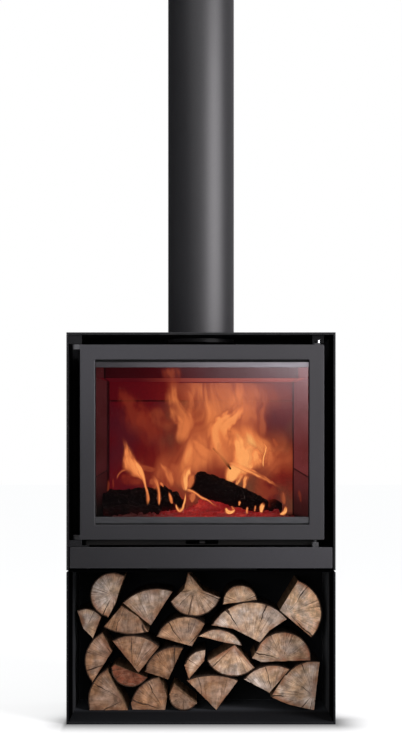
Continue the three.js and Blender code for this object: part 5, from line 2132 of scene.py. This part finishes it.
BURNING_LOGS = (
    BurningLog("burning_log_left", (-242, -62, 522), (-72, -34, 530), 35, rough=3.4),
    BurningLog("burning_log_front", (-238, -100, 504), (-104, -84, 503), 17, rough=3.0),
    BurningLog("burning_log_slanted", (-14, 6, 574), (160, -52, 513), 40, tip=0.58, rough=1.5),
    BurningLog("burning_log_low", (118, 10, 506), (200, 24, 511), 22, rough=2.5),
    BurningLog("burning_log_rear", (-170, 50, 510), (-40, 62, 512), 25, HOT_CHAR),
    BurningLog("charred_chunk", (-66, -40, 548), (-48, -54, 508), 12, flat=0.7, tip=0.8,
               rough=4.5),
    BurningLog("charred_twig", (30, 3, 658), (53, 2, 634), 2.4, tip=1.4, rough=2.5),
    BurningLog("charred_twig_foot", (49, 2, 638), (75, 0, 605), 4.6, rough=3.0),
)
FLAMES = (
    Flame("left_tongue", -112, 0.90, 0.95, 0.10, (
        (-131, 517, 0.9), (-129, 532, 3.1), (-131, 550, 2.4), (-136, 568, 2.5), (-142, 587, 3.8),
        (-149, 602, 5.0), (-157, 616, 5.7), (-165, 633, 5.0), (-171, 649, 3.8), (-176, 662, 1.6))),
    Flame("left_tall", -104, 0.84, 0.92, 0.10, (
        (-138, 576, 1.6), (-145, 590, 6.0), (-157, 603, 11.6), (-169, 618, 13.2),
        (-174, 635, 10.4), (-179, 652, 7.9), (-183, 668, 5.3), (-190, 683, 3.1),
        (-198, 696, 1.3))),
    Flame("left_arch", -100, 0.66, 0.55, 0.20, (
        (-205, 580, 1.1), (-202, 590, 1.7), (-195, 599, 2.1), (-183, 606, 2.3), (-173, 609, 1.5))),
    Flame("left_bridge", -60, 0.42, 0.55, 0.20, (
        (-154, 612, 5.7), (-133, 606, 6.5), (-117, 604, 4.9), (-98, 605, 2.3))),
    Flame("left_under", -50, 0.30, 0.55, 0.30, (
        (-164, 562, 17.1), (-164, 576, 20.9), (-164, 590, 20.9), (-164, 602, 17.1))),
    Flame("left_second", -112, 0.84, 0.90, 0.08, (
        (-102, 517, 0.9), (-102, 534, 3.5), (-102, 551, 3.0), (-106, 567, 4.4), (-112, 580, 5.0),
        (-121, 590, 3.5), (-131, 594, 1.3))),
    Flame("left_fill", -80, 0.50, 0.60, 0.20, (
        (-110, 554, 3.8), (-112, 568, 8.7), (-119, 580, 7.6), (-129, 588, 4.9))),
    Flame("left_spark", -110, 0.72, 0.85, 0.20, (
        (-90, 562, 1.1), (-97, 570, 2.6), (-103, 575, 1.5))),
    Flame("thin_tongue", -112, 0.80, 0.85, 0.10, (
        (-70, 521, 1.3), (-73, 532, 3.4), (-77, 544, 2.4), (-80, 555, 0.9))),
    Flame("centre_left", -85, 0.64, 0.80, 0.25, (
        (-73, 558, 3.4), (-72, 575, 7.2), (-78, 592, 9.8), (-87, 606, 7.2), (-99, 620, 3.4),
        (-107, 633, 1.5))),
    Flame("centre_veil", -70, 0.46, 0.65, 0.30, (
        (-57, 556, 5.7), (-59, 573, 13.3), (-64, 594, 17.0), (-65, 614, 17.0), (-67, 637, 13.3))),
    Flame("centre_low", -96, 0.97, 0.93, 0.08, (
        (-38, 552, 1.9), (-39, 560, 4.7), (-40, 570, 7.2), (-41, 582, 8.5), (-39, 594, 8.8),
        (-34, 605, 7.2), (-26, 613, 4.1), (-14, 620, 1.4))),
    Flame("centre_side", -90, 0.66, 0.75, 0.20, (
        (-30, 556, 3.0), (-28, 571, 7.5), (-24, 589, 6.4), (-20, 604, 2.6))),
    Flame("centre_base", -118, 1.00, 0.95, 0.06, (
        (-61, 522, 0.6), (-58, 512, 2.4), (-52, 505, 3.0), (-45, 509, 2.5), (-41, 521, 2.2),
        (-37, 536, 1.9), (-37, 550, 1.6), (-39, 560, 1.3))),
    Flame("under_log", -92, 0.86, 0.88, 0.10, (
        (-39, 557, 2.5), (-24, 553, 3.2), (-10, 545, 2.5), (5, 535, 2.4), (19, 528, 1.4),
        (32, 518, 1.3), (56, 508, 0.9))),
    Flame("under_fill", -90, 0.60, 0.88, 0.15, (
        (-22, 523, 0.9), (-22, 533, 6.3), (-24, 543, 7.9), (-29, 553, 4.1))),
    Flame("column", 20, 0.72, 0.75, 0.15, (
        (-51, 662, 4.6), (-50, 679, 11.4), (-42, 703, 13.7), (-38, 724, 17.5), (-54, 748, 16.0),
        (-66, 773, 12.9), (-70, 800, 11.4), (-72, 828, 11.4), (-75, 852, 9.9))),
    Flame("column_right", 24, 0.56, 0.60, 0.20, (
        (-32, 721, 6.1), (-26, 752, 8.4), (-28, 780, 9.1), (-38, 799, 9.1), (-54, 809, 5.3))),
    Flame("baffle_streak", -132, 0.36, 0.62, 0.25, (
        (-67, 802, 9.6), (-69, 819, 13.3), (-72, 836, 14.7), (-75, 852, 14.0), (-77, 862, 13.3))),
    Flame("behind_log", 5, 0.68, 0.72, 0.25, (
        (29, 634, 9.1), (12, 646, 12.9), (-7, 664, 13.6), (-23, 681, 9.1), (-33, 693, 3.8))),
    Flame("right_main", 12, 0.86, 0.86, 0.30, (
        (88, 607, 15.9), (76, 629, 22.2), (60, 655, 22.9), (48, 683, 21.0), (46, 707, 17.1),
        (62, 726, 13.3), (84, 741, 12.1), (100, 762, 10.8), (110, 783, 8.3), (119, 802, 4.4))),
    Flame("right_b", -10, 0.92, 0.88, 0.30, (
        (118, 605, 22.1), (110, 629, 26.6), (98, 655, 22.1), (91, 682, 16.4), (84, 710, 8.2))),
    Flame("right_c", -20, 0.90, 0.85, 0.30, (
        (137, 603, 12.8), (133, 627, 18.1), (132, 651, 15.8), (137, 670, 7.5))),
    Flame("right_spike", -40, 1.00, 0.92, 0.12, (
        (154, 609, 1.0), (153, 622, 1.7), (155, 638, 1.8), (159, 651, 2.2), (161, 659, 2.0),
        (155, 670, 1.5), (148, 682, 0.7))),
    Flame("spike_body", -34, 0.56, 0.62, 0.20, (
        (170, 609, 3.6), (169, 624, 8.4), (166, 638, 10.0), (164, 651, 6.8), (161, 662, 2.4))),
    Flame("right_glow", 10, 0.62, 0.65, 0.30, (
        (169, 617, 12.9), (167, 638, 15.2), (164, 658, 11.4), (158, 676, 5.3))),
    Flame("right_top", 30, 0.60, 0.55, 0.30, (
        (116, 693, 19.0), (109, 721, 22.9), (110, 749, 21.3), (109, 776, 16.8), (102, 804, 11.4))),
    Flame("right_wisp", 34, 0.54, 0.60, 0.25, (
        (149, 676, 8.4), (149, 707, 11.4), (150, 735, 11.4), (158, 763, 9.9), (171, 785, 4.6))),
    Flame("log_ridge", -8, 0.88, 0.88, 0.06, (
        (68, 622, 2.0), (83, 618, 3.7), (101, 610, 4.5), (119, 602, 4.5), (141, 591, 4.2),
        (165, 578, 3.5), (187, 565, 2.7), (212, 551, 1.2))),
    Flame("log_sheet", 15, 0.98, 0.95, 0.10, (
        (69, 569, 3.4), (73, 583, 11.1), (80, 596, 16.0), (91, 608, 17.5), (106, 621, 16.2),
        (122, 637, 14.1), (132, 653, 10.1), (137, 670, 5.1))),
    Flame("log_lick_a", 13, 0.90, 0.82, 0.12, (
        (88, 565, 2.4), (93, 578, 5.2), (100, 589, 5.6), (107, 599, 4.0))),
    Flame("log_lick_b", 12, 0.88, 0.88, 0.12, (
        (106, 556, 2.0), (110, 571, 4.4), (114, 584, 4.0), (120, 596, 2.4))),
    Flame("ridge_veil", 4, 0.34, 0.55, 0.30, (
        (121, 569, 15.7), (145, 560, 21.0), (168, 548, 21.0), (192, 541, 15.7), (207, 538, 7.9))),
    Flame("ridge_drop", -20, 0.50, 0.60, 0.20, (
        (207, 515, 2.1), (204, 532, 4.2), (202, 546, 5.2), (198, 558, 3.1))),
    Flame("right_base", -100, 1.00, 0.97, 0.06, (
        (188, 492, 1.2), (196, 496, 3.5), (203, 504, 3.9), (205, 514, 2.5), (204, 521, 1.0))),
    Flame("right_flat", -110, 0.95, 0.90, 0.10, (
        (158, 494, 0.6), (167, 496, 1.5), (176, 495, 0.6))),
    Flame("right_small", -112, 1.00, 0.95, 0.08, (
        (146, 499, 1.7), (147, 512, 4.1), (152, 522, 3.2), (154, 529, 1.1))),
    Flame("tongue_a", -108, 0.80, 0.85, 0.10, (
        (130, 503, 1.3), (132, 513, 2.0), (134, 521, 1.0))),
    Flame("tongue_b", -106, 0.86, 0.88, 0.10, (
        (112, 497, 1.3), (112, 507, 2.1), (113, 518, 1.1))),
    Flame("tongue_c", -104, 0.86, 0.88, 0.10, (
        (93, 517, 1.3), (93, 524, 2.4), (91, 531, 1.1))),
    Flame("tongue_d", -106, 0.70, 0.80, 0.10, (
        (74, 517, 1.3), (78, 509, 2.1), (83, 518, 1.3))),
    Flame("ember_tongue", -115, 1.00, 0.97, 0.06, (
        (60, 512, 1.5), (64, 503, 4.3), (73, 501, 3.9), (80, 505, 1.9), (82, 517, 0.9))),
    Flame("wall_glow", 30, 0.46, 0.60, 0.30, (
        (157, 607, 10.5), (181, 614, 16.9), (205, 620, 18.4), (224, 626, 12.1))),
    Flame("wall_wisp", 40, 0.45, 0.50, 0.20, (
        (192, 659, 4.6), (185, 672, 5.3), (180, 690, 2.3))),
    Flame("cheek_wisp", -90, 0.34, 0.34, 0.20, (
        (245, 523, 1.6), (241, 542, 2.6), (236, 561, 1.6))),
    Flame("wall_left", -40, 0.34, 0.40, 0.20, (
        (-230, 548, 1.7), (-229, 566, 2.3), (-229, 585, 1.5))),
    Flame("wall_left_b", -30, 0.34, 0.40, 0.20, (
        (-217, 558, 1.5), (-217, 572, 2.1), (-218, 588, 1.3))),
    Flame("upper_left", 45, 0.29, 0.48, 0.30, (
        (-151, 679, 16.8), (-162, 721, 22.9), (-174, 752, 21.4), (-188, 782, 15.3),
        (-198, 808, 9.9), (-209, 836, 4.6))),
    Flame("lower_left", 48, 0.29, 0.48, 0.30, (
        (-120, 652, 19.1), (-124, 686, 24.5), (-129, 721, 22.9), (-141, 752, 16.8),
        (-152, 780, 7.6))),
    Flame("right_veil", -32, 0.55, 0.42, 0.30, (
        (40, 603, 10.4), (47, 624, 15.6), (54, 645, 15.6), (63, 667, 13.0), (68, 688, 7.8))),
    Flame("upper_mid", 50, 0.42, 0.42, 0.30, (
        (-89, 693, 19.1), (-99, 725, 21.4), (-110, 752, 19.1), (-117, 777, 9.9))),
)


@dataclass
class Fire:
    """The burning logs, the ember bed and the flames in the firebox."""

    flame_columns: int = 12
    flame_rows: int = 44
    bulge: float = 0.45
    spread: float = 2.5
    seed_step: float = 0.37
    front_of: float = -60.0
    middle_of: float = 15.0
    blaze_x: Pair = (-226.0, 230.0)
    blaze_z: Pair = (500.0, 822.0)
    blaze_steps: int = 40
    log_around: int = 72
    log_along: int = 90
    log_end_rings: int = 6
    block_mm: float = 13.0
    lumps: tuple[Pair, ...] = ((0.8, 38.0), (0.7, 20.0), (0.4, 8.0))
    bed_x: Pair = (-215.0, 225.0)
    bed_y: Pair = (-150.0, 85.0)
    bed_z: float = 485.4
    bed_columns: int = 110
    bed_rows: int = 60

    @staticmethod
    def curve(line: Sequence[Point], count: int) -> np.ndarray:
        """Steps evenly along a smooth line.

        Args:
            line: The rows that it runs through; the first two numbers of each are its place.
            count: How many steps it gets.

        Returns:
            The rows in between.
        """
        rows = np.array(line, float)
        lengths = np.linalg.norm(np.diff(rows[:, :2], axis=0), axis=1)
        knots = np.concatenate([[0.0], np.cumsum(lengths)])
        slopes = np.gradient(rows, knots, axis=0)
        result = []
        for place in np.linspace(0.0, knots[-1], count):
            k = min(int(np.searchsorted(knots, place, side="right")) - 1, len(knots) - 2)
            span = knots[k + 1] - knots[k]
            t = (place - knots[k]) / span
            result.append((2 * t**3 - 3 * t**2 + 1) * rows[k]
                          + (t**3 - 2 * t**2 + t) * span * slopes[k]
                          + (-2 * t**3 + 3 * t**2) * rows[k + 1]
                          + (t**3 - t**2) * span * slopes[k + 1])
        return np.array(result)

    def flame_mesh(self, name: str, flames: Sequence[Flame]) -> Object:
        """One piece of several flame sheets, each wider than its bright body."""
        points, faces, uvs, burns = [], [], [], []
        for flame in flames:
            faces += grid_faces(self.flame_rows, self.flame_columns + 1, first=len(points))
            path = self.curve(flame.line, self.flame_rows)
            tangent = np.gradient(path[:, :2], axis=0)
            tangent /= np.linalg.norm(tangent, axis=1)[:, None]
            seed = sum(map(ord, flame.name)) * self.seed_step
            for row, (x, z, half) in enumerate(path):
                v = row / (self.flame_rows - 1)
                rising = min(1.0, v / flame.foot)
                cover = flame.cover * rising * rising * (3 - 2 * rising)
                half = max(half, 1.0) * self.spread
                for column in range(self.flame_columns + 1):
                    u = column / self.flame_columns
                    offset = (2 * u - 1) * half
                    depth = flame.depth - self.bulge * half * (1 - (2 * u - 1) ** 2)
                    depth += 2.0 * noise.noise(Vector((x / 25.0, z / 25.0 + u, seed)))
                    points.append(((x + tangent[row, 1] * offset) * MM, depth * MM,
                                   (z - tangent[row, 0] * offset) * MM))
                    uvs.append((u, v))
                    burns.append((flame.heat, cover, seed))
        obj = mesh_object(name, points, faces)
        layer = obj.data.uv_layers.new(name="UVMap")
        for loop in obj.data.loops:
            layer.data[loop.index].uv = uvs[loop.vertex_index]
        mark(obj, "burn", burns)
        obj.data.shade_smooth()
        return publish(obj, Body.ROOT, Slot.WOOD, FLAME)

    def blaze(self, name: str, finish: Finish, depth: float, bow: float) -> Object:
        """A broad bowed sheet behind the logs that carries the soft body of the fire.

        Args:
            name: The piece's name.
            finish: The blaze that it shows.
            depth: Its y at its sides in millimetres.
            bow: How far its middle stands back or forth.

        Returns:
            The piece.
        """
        (left, right), (bottom, top) = self.blaze_x, self.blaze_z
        shares = [step / self.blaze_steps for step in range(self.blaze_steps + 1)]
        points = []
        for v in shares:
            for u in shares:
                y = depth + bow * math.sin(math.pi * u) + 5.0 * math.sin(7.0 * u + 5.0 * v)
                points.append(((left + (right - left) * u) * MM, y * MM,
                               (bottom + (top - bottom) * v) * MM))
        sheet = mesh_object(name, points, grid_faces(len(shares), len(shares)))
        sheet.data.shade_smooth()
        return publish(sheet, Body.ROOT, Slot.WOOD, finish)

    def burning_log(self, log: BurningLog) -> Object:
        """A charred log with a knobbly surface of cracked blocks."""
        start, end = Vector(log.start), Vector(log.end)
        axis = (end - start).normalized()
        right = axis.cross(Vector((0, 0, 1))).normalized()
        up = right.cross(axis).normalized()
        around, along = self.log_around, self.log_along
        points = []
        for row in range(along):
            share = row / (along - 1)
            middle = start + axis * (share * (end - start).length)
            taper = (1.0 - 0.25 * abs(2 * share - 1) ** 6) * (1.0 + (log.tip - 1.0) * share)
            for column in range(around):
                angle = TURN * column / around
                way = right * math.cos(angle) + up * math.sin(angle) * log.flat
                spot = middle + way * log.radius
                cell = noise.voronoi(spot / self.block_mm)[0]
                block = min(1.0, (cell[1] - cell[0]) * 4.0)
                lump = sum(weight * noise.noise(spot / size) for weight, size in self.lumps)
                swell = taper * (1.0 + 0.12 * log.rough * lump) - 0.07 * (1.0 - block)
                points.append((middle + way * (log.radius * swell)) * MM)
        faces = grid_faces(along, around, closed=True)
        for row, spot, way in ((0, start, -1), (along - 1, end, 1)):
            outer = list(range(row * around, (row + 1) * around))
            rim, rings = [points[number] for number in outer], outer
            for ring in range(1, self.log_end_rings):
                current = []
                for edge in rim:
                    inner = edge.lerp(spot * MM, ring / self.log_end_rings)
                    rough = 2.0 * noise.noise(inner / MM / 9.0)
                    points.append(inner + axis * way * rough * MM)
                    current.append(len(points) - 1)
                for column in range(around):
                    other = (column + 1) % around
                    faces.append((rings[column], rings[other], current[other], current[column]))
                rings = current
            points.append(spot * MM)
            for column in range(around):
                faces.append((rings[column], rings[(column + 1) % around], len(points) - 1))
        obj = mesh_object(log.name, points, faces, recalculate=True)
        smooth(obj, 60.0)
        return publish(obj, Body.ROOT, Slot.WOOD, log.finish)

    def ember_bed(self) -> Object:
        """A low closed mound of embers on the hearth."""
        columns, rows = self.bed_columns, self.bed_rows
        (x0, x1), (y0, y1) = self.bed_x, self.bed_y
        points = []
        for row in range(rows):
            for column in range(columns):
                x = x0 + (x1 - x0) * column / (columns - 1)
                y = y0 + (y1 - y0) * row / (rows - 1)
                edge = min(1.0, (x - x0) / 40, (x1 - x) / 40, (y - y0) / 35, (y1 - y) / 35)
                heap = 34.0 * math.exp(-(((x - 30) / 62) ** 2) - ((y - 10) / 48) ** 2)
                rise = 12.0 + heap + 7.0 * noise.noise(Vector((x / 60, y / 60, 0)))
                rise += 3.0 * noise.noise(Vector((x / 12, y / 12, 5)))
                points.append((x * MM, y * MM, (self.bed_z + 0.3 + max(0.0, rise) * edge) * MM))
        faces = grid_faces(rows, columns)
        border = (list(range(columns)) + [r * columns - 1 for r in range(2, rows + 1)]
                  + [(rows - 1) * columns + c for c in range(columns - 2, -1, -1)]
                  + [r * columns for r in range(rows - 2, 0, -1)])
        under = len(points)
        points += [(points[i][0], points[i][1], self.bed_z * MM) for i in border]
        for index, here in enumerate(border):
            other = (index + 1) % len(border)
            faces.append((border[other], here, under + index, under + other))
        faces.append(tuple(reversed(range(under, len(points)))))
        obj = mesh_object("ember_bed", points, faces)
        smooth(obj, 60.0)
        return obj

    def build(self) -> None:
        """Builds the burning fire."""
        bed = self.ember_bed()
        base = new_object("coal_places", bed.data.copy())
        publish(bed, Body.ROOT, Slot.WOOD, EMBER)
        coals = coal_tree(EMBER).make("scattered_coals", base)
        coals.data.shade_smooth()
        publish(coals, Body.ROOT, Slot.WOOD)
        for log in BURNING_LOGS:
            self.burning_log(log)
        layers = {"flames_front": [], "flames_middle": [], "flames_back": []}
        for flame in FLAMES:
            place = "front" if flame.depth < self.front_of else "middle"
            place = place if flame.depth < self.middle_of else "back"
            layers[f"flames_{place}"].append(flame)
        for name, flames in layers.items():
            self.flame_mesh(name, flames)
        self.blaze("rear_blaze_sheet", REAR_BLAZE, 84.0, -16.0)
        self.blaze("middle_blaze_sheet", MIDDLE_BLAZE, 34.0, 20.0)


def main() -> None:
    """Builds the stage and every sub-assembly in order."""
    logging.basicConfig(level=logging.INFO, format="%(message)s")
    for part in (Studio(), Base(), Casing(), Firebox(), Drawer(), AirControl(), Door(), Hinges(),
                 Latch(), Flue(), Firewood(), Fire()):
        part.build()


if __name__ == "__main__":
    main()
